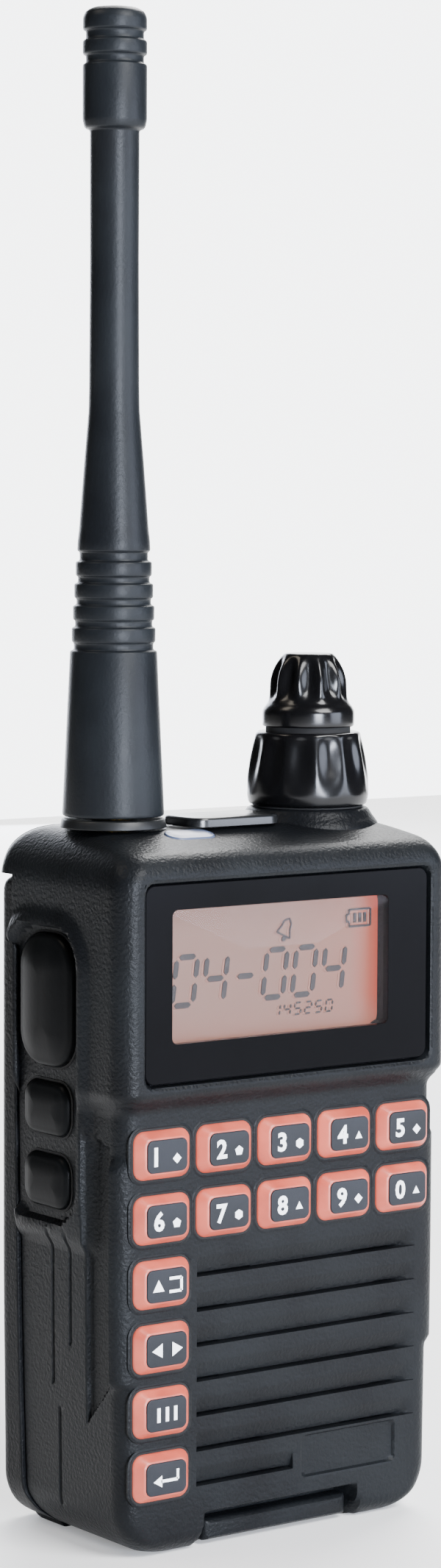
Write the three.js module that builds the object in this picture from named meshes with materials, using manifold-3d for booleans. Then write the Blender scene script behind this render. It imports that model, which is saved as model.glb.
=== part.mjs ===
// A handheld two-way radio, built as the pieces it comes apart into. Millimetres, +Z up.
// X runs across the radio, -Y is its front, and the origin is the middle of the foot it stands on.
import * as THREE from "three";
import { mergeVertices } from "three/addons/utils/BufferGeometryUtils.js";
import Module from "manifold-3d";

const wasm = await Module();
wasm.setup();

// ---- Driving dimensions -------------------------------------------------------------------
const BODY_W = 57.2; // across the display housing
const BODY_H = 98.8; // foot to the top of the case
const FRONT_Y = -16; // front of the display housing
const CASE_DEPTH = 27.4; // front case, from the display housing's front to the battery seam
const BATTERY_SLAB = 4.3; // thickness of battery that shows behind the seam
const HEAD_H = 35.8; // height of the display housing
const HEAD_PROUD = 1.3; // display housing past the keypad housing, each side
const KEYPAD_SET_BACK = 1.85; // keypad face behind the display housing's front
const WALL = 1.4; // keypad wall
const SIDE_WALL = 1.1;
const TOP_WALL = 2.3;
const FLOOR_WALL = 3.8; // deep enough for the latch recess
const GAP = 0.3; // clearance between pieces that touch
const HAIR = 0.2; // the least that one solid runs into another, or a corner exceeds its rolled rim
const TOP_CORNER_R = 7.5; // corners of the front outline
const FOOT_CORNER_R = 7;
const EDGE_R = 3; // rounded edges of the keypad housing
const HEAD_EDGE_R = 4; // rounded edges of the display housing

const LENS_SIDE = 4.1; // case left beside the display lens
const LENS_ABOVE = 6.2;
const LENS_BELOW = 2.5;
const LENS_T = 1.2;
const LENS_SUNK = 0.7;
const LENS_R = 1.6;
const WINDOW_MARGIN = 4; // ledge that the lens is glued to
const WINDOW_TOP_MARGIN = 3;
const GLASS_T = 1.8;
const GLASS_SIDE = 2.9; // lens edge to the display glass
const GLASS_BELOW = 2.2;
const GLASS_ABOVE = 1.5;
const FRAME_RIM = 1.4;
const GUIDE_T = 1.8;

const KEY_COLUMNS = 5;
const KEY_ROWS = 6; // the first two rows are full width, the rest are one key wide
const FULL_ROWS = 2;
const KEY_FIELD_SIDE = 1.65; // case beside the outer keys
const KEY_FIELD_ABOVE = 3.85; // keypad face above the first row
const KEY_FIELD_BELOW = 8.1; // foot to the last row
const KEY_GAP_X = 1.2;
const KEY_GAP_Z = 2.2;
const KEY_PROUD = 1.65;
const KEY_SLOPE_X = 1.35; // how far the key's skirt leans in
const KEY_SLOPE_Z = 1.1;
const KEY_SLIT = 0.25; // clearance round a key in the case
const KEY_FLANGE = 0.25; // rim that keeps the key behind the wall
const KEY_FLANGE_T = 0.6;
const KEY_TRAVEL = 0.8;
const KEY_R = 1.6; // corners at the foot of the skirt
const KEY_TOP_R = 0.9;
const KEY_EDGE = 0.25; // softened edge round the key's face
const KEY_EDGE_SHARE = 0.75; // of the skirt's lean, at the foot of that edge
const MAT_T = 1;
const PIP_R = 1.5;
const PIP_ROOM = 1.95; // board to mat
const PIP_LIFT = 0.6; // board to the tip of a pip

const GRILLE_SLATS = 6;
const SLAT_PITCH = 4.87;
const SLAT_H = 2.5;
const SLAT_DEPTH = 0.8;
const SLOT_H = 0.8;
const SHORT_SLAT_L = 16.5; // the last slat, beside the badge
const GRILLE_LEFT = 1.7; // key column to the slats
const GRILLE_RIGHT = 3.6; // slats to the side
const GRILLE_ABOVE = 2.8; // key row to the slats
const SPEAKER_R = 15;
const SPEAKER_T = 6;
const SPEAKER_RISE = 1; // rim above the first slat
const BASKET_T = 2.6;
const MAGNET_SHARE = 0.55; // of the speaker's radius
const SLOT_SHARE = 0.72; // half a slot's length, of the speaker's radius
const CONE_RIM = 2;
const CONE_DEEP = 0.9;
const CLOTH_T = 0.2;
const BADGE_W = 16.9;
const BADGE_H = 6.1;
const BADGE_DEEP = 0.4;
const BADGE_R = 1.2;
const BADGE_GAP = 1.6; // short slat to the badge
const BADGE_DROP = 1.7; // under the short slat's foot
const MIC_R = 3;
const MIC_T = 2.6;
const MIC_IN = 7; // from the end of the slats
const MIC_DROP = 0.6;
const MIC_SLOT = 1.5; // half its length

const ANTENNA_X = -18;
const CONTROL_X = 16.1;
const STACK_Y = 1.7; // antenna and control axes
const ANTENNA_H = 112.7; // above the case
const ANTENNA_FOOT_R = 7.1;
const COLLAR_R = 7.4;
const COLLAR_H = 1.3;
const SLEEVE_H = 23; // smooth foot of the antenna
const SLEEVE_TOP_R = 6.02;
const RIBS = 4; // over the sleeve, each a little slimmer than the one below it
const RIB_R = 5.8;
const RIB_TAPER = 0.18;
const RIB_PITCH = 3.05;
const RIB_GROOVE = { deep: 0.4, h: 1.1, edge: 0.05 };
const RIB_TOP = 2.9;
const RIB_FOOT = 0.1;
// Radius, and height above the sleeve.
const WHIP = [[4.74, 12.3], [4.74, 13.6], [5.06, 13.7], [4.8, 16.7], [4.1, 26], [3.5, 33]];
// Radius, and depth below the tip.
const WHIP_CAP = [
  [3.4, 17], [4.42, 15.7], [4.42, 8.1], [3.99, 8], [3.99, 7], [4.41, 6.9], [4.41, 5],
  [3.99, 4.9], [3.99, 3.7], [4.4, 3.4], [4.3, 1.6], [3.2, 0.5], [0, 0],
];
const SOCKET_R = 3.1;
const SOCKET_H = 4.7; // above the case
const SOCKET_FLANGE = 1.9;
const SOCKET_FLANGE_T = 2;
const PIN_R = 0.8; // hole for the antenna's pin
const PIN_DEEP = 5;
const FERRULE_R = 4.7;
const FERRULE_SUNK = 0.1;
const FERRULE_BORE = 11; // how far the ferrule runs up inside the rubber
const CHANNEL_R = 8.75;
const CHANNEL_H = 10.4;
const VOLUME_R = 6.65;
const VOLUME_H = 10.6;
const OUTER_SHAFT_R = 3;
const INNER_SHAFT_R = 1.5;
const BOSS_H = 1.8; // raised ring of the case under the control knobs
const BOSS_R = 8.3;
const BOSS_FLARE = 1.3;
const BOSS_EDGE = 0.45;
const FLUTES = 12;
// Radius inside the knob's own, height above its foot, and depth of the finger hollows there.
const CHANNEL_SKIN = [
  [0.45, 0, 0], [0, 0.9, 0.45], [0, 3.7, 0.6], [0.3, 5.6, 0.55], [0.65, 7.6, 0.35], [1.05, 9.7, 0.1],
];
const CHANNEL_RIM = 1.65; // radius inside the knob's own, at its top
const VOLUME_SKIN = [
  [0.15, 0, 0], [0, 0.5, 0], [0, 2.6, 0], [0.7, 3.6, 0], [1.18, 4.3, 0.5], [1.21, 6.8, 0.7],
  [1.95, 8.9, 0.5], [2.85, 10, 0.1],
];
const VOLUME_RIM = 3.3;
const KNOB_GAP = 0.7; // channel knob to volume knob
const BUSH_R = 4.3;
const BUSH_H = 3.5; // nut inside the channel knob
const BUSH_SUNK = 1.5;
const BUSH_CLEAR = 0.6;
const OUTER_SHAFT_SHORT = 2.4; // shaft ends below the knobs' tops
const INNER_SHAFT_SHORT = 3;

const COVER = { x0: -9.5, x1: 6, y0: -6, y1: 3, r: 2, t: 1.2, edge: 0.3 }; // flap over the jacks
const JACKS = [
  { name: "speaker_jack", x: -5, bore: 1.75 },
  { name: "microphone_jack", x: 2.4, bore: 1.25 },
];
const JACK_Y = -1.5;
const JACK_R = 3;
const JACK_WALL = 0.7; // round the bore, where it passes through the case
const JACK_H = 9;
const JACK_FLOOR = 2;
const LAMP = { x: -10.6, y: -8.7, w: 7.4, d: 3.6, t: 3.6, edge: 0.4 };
const LAMP_SUNK = 0.75;
const LAMP_STEPS = 6;
const CONTROL_BOX = 4.7; // half width
const CONTROL_BOX_H = 10;

const PTT_LENGTH = 18.6;
const PTT_DEPTH = 12.9;
const PTT_PROUD = 1.1; // face of the button past the pocket floor
const PTT_ABOVE_STEP = 2.2;
const SIDE_KEY_LENGTH = 7.6;
const SIDE_KEY_DEPTH = 11;
const SIDE_KEY_PROUD = 0.8;
const SIDE_KEY_R = 2.8;
const SIDE_KEY_EDGE = 0.5;
const PTT_GAP = 1.8; // push-to-talk button to the button under it
const SIDE_KEY_GAP = 2.5;
const SIDE_TRAVEL = 0.8;
const SIDE_FLANGE = 0.5;
const SIDE_FLANGE_T = 0.6;
const SIDE_WEB = 0.6; // case left between the side buttons and the seam
const POCKET_DEEP = 1.1;
const POCKET_ABOVE = 2.8; // pocket past the outer buttons
const POCKET_BELOW = 2.1;
const POCKET_FRONT = 2.6;
const POCKET_R = 3.4;
const SWITCH_T = 0.8; // side switch board
const SWITCH_SHORT = 2; // how far it stops inside the buttons' outer edges
const SWITCH_BUMP = 1.5; // half width of a switch on it

const RIB_PROUD = 1; // grip rib past the keypad housing
const GRIP_RIB = { top: 7.5, length: 32, front: 1.4, w: 1.6, r: 0.9, edge: 0.5 };
const CHEEK_PROUD = 0.9; // housing round the side buttons
const CHEEK = { below: 1.8, above: 4, front: 6, low: 2, high: 3 };
const TRUNK_LAP = 6; // keypad housing, up inside the display housing
const SLOPE_DROP = 4.7; // how far the roof has fallen at the front
const SLOPE_BACK = 2.5; // where the slope starts, behind the thin part of the roof
const ROOF_STEP_Y = -5; // the roof is lower in front of this line
const ROOF_STEP = 4.8;
const ROOM_SHORT = 1.8; // room behind the seam stops under the hood
const BATTERY_PROUD = 0.6; // battery past the keypad housing, each side
const SLAB_R = 2.5; // battery's rounded back edge
const BLOCK_W = 38; // battery block that enters the case
const BLOCK_DEEP = 7.6;
const BATTERY_WALL = 1.2;
const CELL_R = 1;
const CELL_EDGE = 0.8;
const CELL_GAP = 0.5;
const LID_T = 1.4;
const PAN_SIDE = 1.7; // pan past the battery block
const PAN_DEEP = 2.1;
const PAN_WALL = 1.5;
const PAN_DROP = 2.2; // pan below the control unit
const PLAY = 0.6; // clearance round a piece that swings
const CONTACT_X = 6;
const CONTACT_Z = 20;
const CONTACT = { half: 2, halfH: 3, t: 0.6 };
const SPRING = { half: 1.2, halfH: 2, behind: 0.6 };
const SWING_GAP = 1.6; // room for the battery's lower edge as it swings out
const HOOD_H = 6.5; // top of the case that covers the battery's top edge
const SCREW_R = 0.9;
const SCREW_L = 7; // thread past the chassis
const SCREW_HEAD_R = 2;
const SCREW_HEAD_T = 0.7;
const SCREW_ABOVE = 4.4; // lower screws above the floor
const SCREW_BELOW = 3; // upper screws under the hood
const BOSS_POST_R = 2.6;
const LATCH_W = 22;
const LATCH_T = 1.3;
const LATCH_TRAVEL = 2.5;
const LATCH_Z = 0.9;
const LATCH_BEHIND = 1.5; // lip behind the display housing's front, when it is slid out
const LIP = { front: 0.9, back: 0.3, below: 0.3, h: 2.7 };
const SCOOP = { half: 14.7, topHalf: 13, h: 5.2, deep: 4.4 }; // thumb hollow over the latch
const BOARD_T = 1.2;
const BOARD_SIDE = 0.7; // board to the side walls
const BOARD_ABOVE = 0.6;
const BOARD_BELOW = 0.4;
const SHIELD = { side: 3, behind: 1.2, above: 2, below: 4 };

// ---- Faces worked out from them -----------------------------------------------------------
const HALF_W = BODY_W / 2;
const TRUNK_W = HALF_W - HEAD_PROUD; // half width of the keypad housing
const HEAD_Z = BODY_H - HEAD_H;
const KEYPAD_Y = FRONT_Y + KEYPAD_SET_BACK;
const INNER_Y = KEYPAD_Y + WALL; // back of the front wall
const SEAM_Y = FRONT_Y + CASE_DEPTH;
const BACK_Y = SEAM_Y + GAP + BATTERY_SLAB;
const INNER_X = TRUNK_W - SIDE_WALL;
const ROOF_Z = BODY_H - TOP_WALL;
const HOOD_Z = BODY_H - HOOD_H;
const PARTS = new THREE.Group();
const PAST = 1; // how far a cutting solid runs past the face it opens
const CURVE_STEPS = 3; // facets of a rounded corner
const RIM_STEPS = 2;
const KEY_CORNER_STEPS = 1;
const COARSE_STEPS = 8; // facets round small, middling and large rods
const SMALL_STEPS = 14;
const ROUND_STEPS = 18;
const FINE_STEPS = 32;
const FLUTE_STEPS = 3; // facets round each finger hollow
const BOSS_STEPS = 24;

// ---- Shapes and solids --------------------------------------------------------------------
// A closed geometry as a solid, with shared corners merged and collapsed triangles dropped.
function solid(geometry) {
  geometry.deleteAttribute("normal");
  geometry.deleteAttribute("uv");
  const merged = mergeVertices(geometry, 1e-4);
  const kept = [];
  const corners = merged.index.array;
  for (let i = 0; i < corners.length; i += 3) {
    const [a, b, c] = corners.slice(i, i + 3);
    if (a !== b && b !== c && c !== a) kept.push(a, b, c);
  }
  return new wasm.Manifold(
    new wasm.Mesh({
      numProp: 3,
      vertProperties: merged.attributes.position.array,
      triVerts: new Uint32Array(kept),
    }),
  );
}

const join = (first, ...rest) => rest.reduce((sum, s) => sum.add(s), first);
const cut = (first, ...rest) => rest.reduce((left, s) => left.subtract(s), first);

function box(x0, x1, y0, y1, z0, z1) {
  const g = new THREE.BoxGeometry(x1 - x0, y1 - y0, z1 - z0);
  return solid(g.translate((x0 + x1) / 2, (y0 + y1) / 2, (z0 + z1) / 2));
}

// A rectangle from (a0, b0) to (a1, b1) with its lower and upper corners rounded.
function roundRect(a0, a1, b0, b1, low, high = low) {
  const s = new THREE.Shape();
  s.absarc(a1 - low, b0 + low, low, -Math.PI / 2, 0);
  s.absarc(a1 - high, b1 - high, high, 0, Math.PI / 2);
  s.absarc(a0 + high, b1 - high, high, Math.PI / 2, Math.PI);
  s.absarc(a0 + low, b0 + low, low, Math.PI, Math.PI * 1.5);
  s.closePath();
  return s;
}

const polygon = (...points) =>
  new THREE.Shape(points.map(([a, b]) => new THREE.Vector2(a, b)));

function extruded(shape, length, rim, steps) {
  return new THREE.ExtrudeGeometry(shape, {
    depth: length - 2 * rim,
    bevelEnabled: rim > 0,
    bevelThickness: rim,
    bevelSize: rim,
    bevelOffset: -rim,
    bevelSegments: RIM_STEPS,
    curveSegments: steps,
  }).translate(0, 0, rim);
}

// A shape in X and Z carried from y0 back to y1, with rims rounded to the radius rim.
function alongY(shape, y0, y1, rim = 0, steps = CURVE_STEPS) {
  return solid(extruded(shape, y1 - y0, rim, steps).rotateX(Math.PI / 2).translate(0, y1, 0));
}

// A shape in X and Y carried up from z0 to z1.
function alongZ(shape, z0, z1, rim = 0, steps = CURVE_STEPS) {
  return solid(extruded(shape, z1 - z0, rim, steps).translate(0, 0, z0));
}

// A shape in Y and Z carried across from x0 to x1.
function alongX(shape, x0, x1, rim = 0, steps = CURVE_STEPS) {
  const turn = new THREE.Matrix4().makeBasis(
    new THREE.Vector3(0, 1, 0),
    new THREE.Vector3(0, 0, 1),
    new THREE.Vector3(1, 0, 0),
  );
  return solid(extruded(shape, x1 - x0, rim, steps).applyMatrix4(turn).translate(x0, 0, 0));
}

function rodZ(r, z0, z1, x, y, sides = ROUND_STEPS) {
  const g = new THREE.CylinderGeometry(r, r, z1 - z0, sides);
  return solid(g.rotateX(Math.PI / 2).translate(x, y, (z0 + z1) / 2));
}

function rodY(r, y0, y1, x, z, sides = ROUND_STEPS) {
  return solid(
    new THREE.CylinderGeometry(r, r, y1 - y0, sides).translate(x, (y0 + y1) / 2, z),
  );
}

// A profile of [radius, height] points, from the bottom up, turned about a vertical axis.
// A fluted one has shallow hollows round it where its third value says how deep they are.
function turned(profile, x, y, sides = ROUND_STEPS, flutes = 0) {
  const points = profile.map(([r, z]) => new THREE.Vector2(r, z));
  const g = new THREE.LatheGeometry(points, sides);
  const p = g.attributes.position;
  for (let i = 0; flutes && i < p.count; i++) {
    const deep = profile[i % profile.length][2] || 0;
    const r = Math.hypot(p.getX(i), p.getZ(i));
    const angle = Math.atan2(p.getX(i), p.getZ(i));
    const k = r > 0 ? 1 - (deep / r) * (0.5 - 0.5 * Math.cos(flutes * angle)) : 1;
    p.setXYZ(i, p.getX(i) * k, p.getY(i), p.getZ(i) * k);
  }
  return solid(g.rotateX(Math.PI / 2).translate(x, y, 0));
}

// A skin through outlines with the same number of points, each at its own depth, front first.
function loftY(outlines) {
  const rings = outlines.map(([shape, y]) => {
    const ring = shape.getPoints(KEY_CORNER_STEPS);
    if (ring[0].distanceTo(ring[ring.length - 1]) < 1e-6) ring.pop();
    return ring.map((p) => [p.x, y, p.y]);
  });
  const n = rings[0].length;
  const faces = [];
  for (let k = 0; k + 1 < rings.length; k++)
    for (let i = 0; i < n; i++) {
      const a = k * n + i;
      const b = k * n + ((i + 1) % n);
      faces.push(a, a + n, b, b, a + n, b + n);
    }
  const flat = (ring) => ring.map(([x, , z]) => new THREE.Vector2(x, z));
  const last = (rings.length - 1) * n;
  for (const [a, b, c] of THREE.ShapeUtils.triangulateShape(flat(rings[0]), []))
    faces.push(a, b, c);
  for (const [a, b, c] of THREE.ShapeUtils.triangulateShape(flat(rings[rings.length - 1]), []))
    faces.push(last + a, last + c, last + b);
  const g = new THREE.BufferGeometry();
  g.setAttribute("position", new THREE.Float32BufferAttribute(rings.flat(2), 3));
  return solid(g.setIndex(faces));
}

// ---- Finishes -----------------------------------------------------------------------------
const finish = (color, roughness, metalness = 0) =>
  new THREE.MeshStandardMaterial({ color, roughness, metalness });
const CASE_BLACK = finish(0x2b2d2f, 0.62);
const RUBBER = finish(0x1c1e20, 0.75);
const WHIP_RUBBER = finish(0x2c3236, 0.6);
const KNOB_GLOSS = finish(0x121315, 0.25);
const LENS_GLOSS = finish(0x0b0c0e, 0.08);
const LAMP_CLEAR = finish(0x9aa3b0, 0.2);
const KEY_SALMON = finish(0xe0907a, 0.4);
const LCD_GLOW = finish(0xc9a092, 0.3);
const GUIDE_WHITE = finish(0xe9e4da, 0.5);
const BOARD_GREEN = finish(0x1f5a3c, 0.6);
const TIN = finish(0xb9bcbe, 0.35, 0.9);
const BRASS = finish(0xc8a24a, 0.35, 0.9);
const STEEL = finish(0x8f9396, 0.3, 0.9);
const CELL_WRAP = finish(0x3c5f8a, 0.5);

// Adds one named piece of the radio.
function piece(name, body, material) {
  const made = body.getMesh();
  const g = new THREE.BufferGeometry();
  g.setAttribute("position", new THREE.BufferAttribute(made.vertProperties, 3));
  g.setIndex(new THREE.BufferAttribute(made.triVerts, 1));
  g.computeVertexNormals();
  const mesh = new THREE.Mesh(g, material);
  mesh.name = name;
  PARTS.add(mesh);
}

// ---- Keys ---------------------------------------------------------------------------------
const KEY_PITCH_X = (2 * (TRUNK_W - KEY_FIELD_SIDE) + KEY_GAP_X) / KEY_COLUMNS;
const KEY_FIELD_H = HEAD_Z - KEY_FIELD_ABOVE - KEY_FIELD_BELOW;
const KEY_PITCH_Z = (KEY_FIELD_H + KEY_GAP_Z) / KEY_ROWS;
const KEY_W = KEY_PITCH_X - KEY_GAP_X;
const KEY_H = KEY_PITCH_Z - KEY_GAP_Z;
const FLANGE_Y = INNER_Y + GAP;
const MAT_Y = FLANGE_Y + KEY_FLANGE_T + KEY_TRAVEL + GAP;
const BOARD_Y = MAT_Y + MAT_T + PIP_ROOM;

const keyX = (column) => (column - (KEY_COLUMNS - 1) / 2) * KEY_PITCH_X;
const keyZ = (row) => HEAD_Z - KEY_FIELD_ABOVE - KEY_H / 2 - row * KEY_PITCH_Z;
const DIGITS = ["1", "2", "3", "4", "5", "6", "7", "8", "9", "0"];
const COMMANDS = ["function", "mode", "memory", "enter"];
const KEYS = [];
for (let row = 0; row < KEY_ROWS; row++)
  for (let column = 0; column < (row < FULL_ROWS ? KEY_COLUMNS : 1); column++) {
    const label = row < FULL_ROWS ? DIGITS[row * KEY_COLUMNS + column] : COMMANDS[row - FULL_ROWS];
    KEYS.push({ name: "key_" + label, x: keyX(column), z: keyZ(row) });
  }

// A key outline grown or shrunk from the foot of its skirt.
function keyOutline({ x, z }, growX, growZ, r) {
  const half = KEY_W / 2 + growX;
  const halfH = KEY_H / 2 + growZ;
  return roundRect(x - half, x + half, z - halfH, z + halfH, r);
}

function makeKeys() {
  const top = KEYPAD_Y - KEY_PROUD;
  const lean = KEY_EDGE_SHARE;
  for (const key of KEYS) {
    const skirt = keyOutline(key, 0, 0, KEY_R);
    const flange = keyOutline(key, KEY_FLANGE, KEY_FLANGE, KEY_R);
    const cap = loftY([
      [keyOutline(key, -KEY_SLOPE_X, -KEY_SLOPE_Z, KEY_TOP_R), top],
      [keyOutline(key, -KEY_SLOPE_X * lean, -KEY_SLOPE_Z * lean, KEY_TOP_R + KEY_EDGE), top + KEY_EDGE],
      [skirt, KEYPAD_Y],
      [skirt, FLANGE_Y],
      [flange, FLANGE_Y],
      [flange, FLANGE_Y + KEY_FLANGE_T],
    ]);
    piece(key.name, cap, KEY_SALMON);
  }
  const left = keyX(0) - KEY_W / 2 - KEY_FLANGE;
  const low = keyZ(KEY_ROWS - 1) - KEY_H / 2 - KEY_FLANGE;
  const high = keyZ(0) + KEY_H / 2 + KEY_FLANGE;
  const step = keyZ(FULL_ROWS - 1) - KEY_H / 2 - KEY_FLANGE;
  const sheet = polygon(
    [left, low],
    [left + KEY_W + 2 * KEY_FLANGE, low],
    [left + KEY_W + 2 * KEY_FLANGE, step],
    [-left, step],
    [-left, high],
    [left, high],
  );
  const pips = KEYS.map(({ x, z }) => rodY(PIP_R, MAT_Y + MAT_T / 2, BOARD_Y - PIP_LIFT, x, z, COARSE_STEPS));
  piece("keypad_mat", join(alongY(sheet, MAT_Y, MAT_Y + MAT_T), ...pips), RUBBER);
}

// ---- Display ------------------------------------------------------------------------------
const LENS_X = HALF_W - LENS_SIDE;
const LENS_Z0 = HEAD_Z + LENS_BELOW;
const LENS_Z1 = BODY_H - LENS_ABOVE;
const LENS_Y = FRONT_Y + LENS_SUNK;
const GLASS_X = LENS_X - GLASS_SIDE;
const GLASS_Z0 = LENS_Z0 + GLASS_BELOW;
const GLASS_Z1 = LENS_Z1 - GLASS_ABOVE;
const GLASS_Y = INNER_Y + GAP;

function makeDisplay() {
  const lens = roundRect(-LENS_X, LENS_X, LENS_Z0, LENS_Z1, LENS_R);
  piece("display_lens", alongY(lens, LENS_Y, LENS_Y + LENS_T), LENS_GLOSS);
  const glass = (y0, y1, grow = 0) =>
    box(-GLASS_X - grow, GLASS_X + grow, y0, y1, GLASS_Z0 - grow, GLASS_Z1 + grow);
  const stack = GLASS_Y + GLASS_T + GAP;
  piece("lcd_glass", glass(GLASS_Y, GLASS_Y + GLASS_T), LCD_GLOW);
  piece("light_guide", glass(stack, stack + GUIDE_T), GUIDE_WHITE);
  const rim = glass(GLASS_Y, BOARD_Y - GAP, GAP + FRAME_RIM);
  piece("lcd_frame", cut(rim, glass(GLASS_Y - PAST, BOARD_Y, GAP)), RUBBER);
}

// ---- Speaker, microphone and grille --------------------------------------------------------
const GRILLE_X0 = keyX(0) + KEY_W / 2 + GRILLE_LEFT;
const GRILLE_X1 = TRUNK_W - GRILLE_RIGHT;
const GRILLE_TOP = keyZ(FULL_ROWS - 1) - KEY_H / 2 - GRILLE_ABOVE;
const slatFoot = (i) => GRILLE_TOP - SLAT_H - i * SLAT_PITCH;
const SPEAKER_X = (GRILLE_X0 + GRILLE_X1) / 2;
const SPEAKER_Z = GRILLE_TOP + SPEAKER_RISE - SPEAKER_R;
const SHORT_SLAT_X = GRILLE_X0 + SHORT_SLAT_L;
const MIC_X = GRILLE_X0 + MIC_IN;
const MIC_Z = slatFoot(GRILLE_SLATS) - MIC_DROP;
const BADGE_X0 = SHORT_SLAT_X + BADGE_GAP;
const BADGE_Z0 = slatFoot(GRILLE_SLATS) - BADGE_DROP;

// A louvre: flush along its upper edge and deepest along its foot.
function louvre(x0, x1, foot) {
  const wedge = polygon(
    [KEYPAD_Y - PAST, foot + SLAT_H],
    [KEYPAD_Y - PAST, foot],
    [KEYPAD_Y + SLAT_DEPTH, foot],
    [KEYPAD_Y, foot + SLAT_H],
  );
  return alongX(wedge, x0, x1);
}

function grilleCuts() {
  const slot = (x, half, z) =>
    box(x - half, x + half, KEYPAD_Y - PAST, INNER_Y + PAST, z, z + SLOT_H);
  const cuts = [];
  for (let i = 0; i < GRILLE_SLATS; i++) {
    cuts.push(louvre(GRILLE_X0, GRILLE_X1, slatFoot(i)));
    cuts.push(slot(SPEAKER_X, SPEAKER_R * SLOT_SHARE, slatFoot(i)));
  }
  const last = slatFoot(GRILLE_SLATS);
  cuts.push(louvre(GRILLE_X0, SHORT_SLAT_X, last), slot(MIC_X, MIC_SLOT, last));
  const badge = roundRect(BADGE_X0, BADGE_X0 + BADGE_W, BADGE_Z0, BADGE_Z0 + BADGE_H, BADGE_R);
  return [...cuts, alongY(badge, KEYPAD_Y - PAST, KEYPAD_Y + BADGE_DEEP)];
}

function makeSound() {
  const cloth = INNER_Y + GAP;
  const face = cloth + CLOTH_T + GAP;
  const disc = (r, y0, y1) => rodY(r, y0, y1, SPEAKER_X, SPEAKER_Z, FINE_STEPS);
  piece("speaker_cloth", disc(SPEAKER_R - GAP, cloth, cloth + CLOTH_T), RUBBER);
  const basket = disc(SPEAKER_R, face, face + BASKET_T);
  const magnet = disc(SPEAKER_R * MAGNET_SHARE, face + BASKET_T - GAP, face + SPEAKER_T);
  const cone = disc(SPEAKER_R - CONE_RIM, face - PAST, face + CONE_DEEP);
  piece("speaker", cut(join(basket, magnet), cone), STEEL);
  piece("microphone", rodY(MIC_R, cloth, cloth + MIC_T, MIC_X, MIC_Z), TIN);
}

// ---- Side buttons --------------------------------------------------------------------------
const SIDE_Y1 = SEAM_Y - SIDE_WEB;
const PTT_Z0 = HEAD_Z + PTT_ABOVE_STEP;
const POCKET_X = HALF_W - POCKET_DEEP;
const SIDE_KEYS = [
  { name: "ptt_button", depth: PTT_DEPTH, z0: PTT_Z0, z1: PTT_Z0 + PTT_LENGTH, proud: PTT_PROUD },
  {
    name: "side_button_upper",
    depth: SIDE_KEY_DEPTH,
    z0: PTT_Z0 - PTT_GAP - SIDE_KEY_LENGTH,
    z1: PTT_Z0 - PTT_GAP,
    proud: SIDE_KEY_PROUD,
  },
];
SIDE_KEYS.push({
  name: "side_button_lower",
  depth: SIDE_KEY_DEPTH,
  z0: SIDE_KEYS[1].z0 - SIDE_KEY_GAP - SIDE_KEY_LENGTH,
  z1: SIDE_KEYS[1].z0 - SIDE_KEY_GAP,
  proud: SIDE_KEY_PROUD,
});
const POCKET_Z0 = SIDE_KEYS[2].z0 - POCKET_BELOW;
const POCKET_Z1 = PTT_Z0 + PTT_LENGTH + POCKET_ABOVE;
const SIDE_FLANGE_X = INNER_X - GAP;

const sideOutline = ({ depth, z0, z1 }, grow, r) =>
  roundRect(SIDE_Y1 - depth - grow, SIDE_Y1 + grow, z0 - grow, z1 + grow, r);

function makeSideButtons() {
  const inner = SIDE_FLANGE_X - SIDE_FLANGE_T;
  for (const key of SIDE_KEYS) {
    const cap = alongX(sideOutline(key, 0, SIDE_KEY_R), -POCKET_X - key.proud, -inner, SIDE_KEY_EDGE);
    const rim = alongX(sideOutline(key, SIDE_FLANGE, SIDE_KEY_R + SIDE_FLANGE), -SIDE_FLANGE_X, -inner);
    piece(key.name, join(cap, rim), RUBBER);
  }
  const bump = inner - SIDE_TRAVEL - GAP;
  const board = bump - SWITCH_T / 2;
  const plate = box(
    -board,
    -board + SWITCH_T,
    SIDE_Y1 - SIDE_KEY_DEPTH,
    SIDE_Y1 - SWITCH_SHORT,
    SIDE_KEYS[2].z0,
    SIDE_KEYS[0].z1 - SWITCH_SHORT,
  );
  const bumps = SIDE_KEYS.map(({ depth, z0, z1 }) => {
    const y = SIDE_Y1 - depth / 2;
    const z = (z0 + z1) / 2;
    const half = SWITCH_BUMP;
    return box(-bump, -board + SWITCH_T / 2, y - half, y + half, z - half, z + half);
  });
  piece("side_switch_board", join(plate, ...bumps), BOARD_GREEN);
  return board - SWITCH_T;
}

// ---- Top: antenna, controls, jacks and lamp -------------------------------------------------
const LAMP_TOP = BODY_H - LAMP_SUNK;
const SOCKET_TOP = BODY_H + SOCKET_H;

const ellipse = ({ x, y, w, d }, grow) => {
  const s = new THREE.Shape();
  s.absellipse(x, y, w / 2 + grow, d / 2 + grow, 0, Math.PI * 2);
  return s;
};

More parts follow.
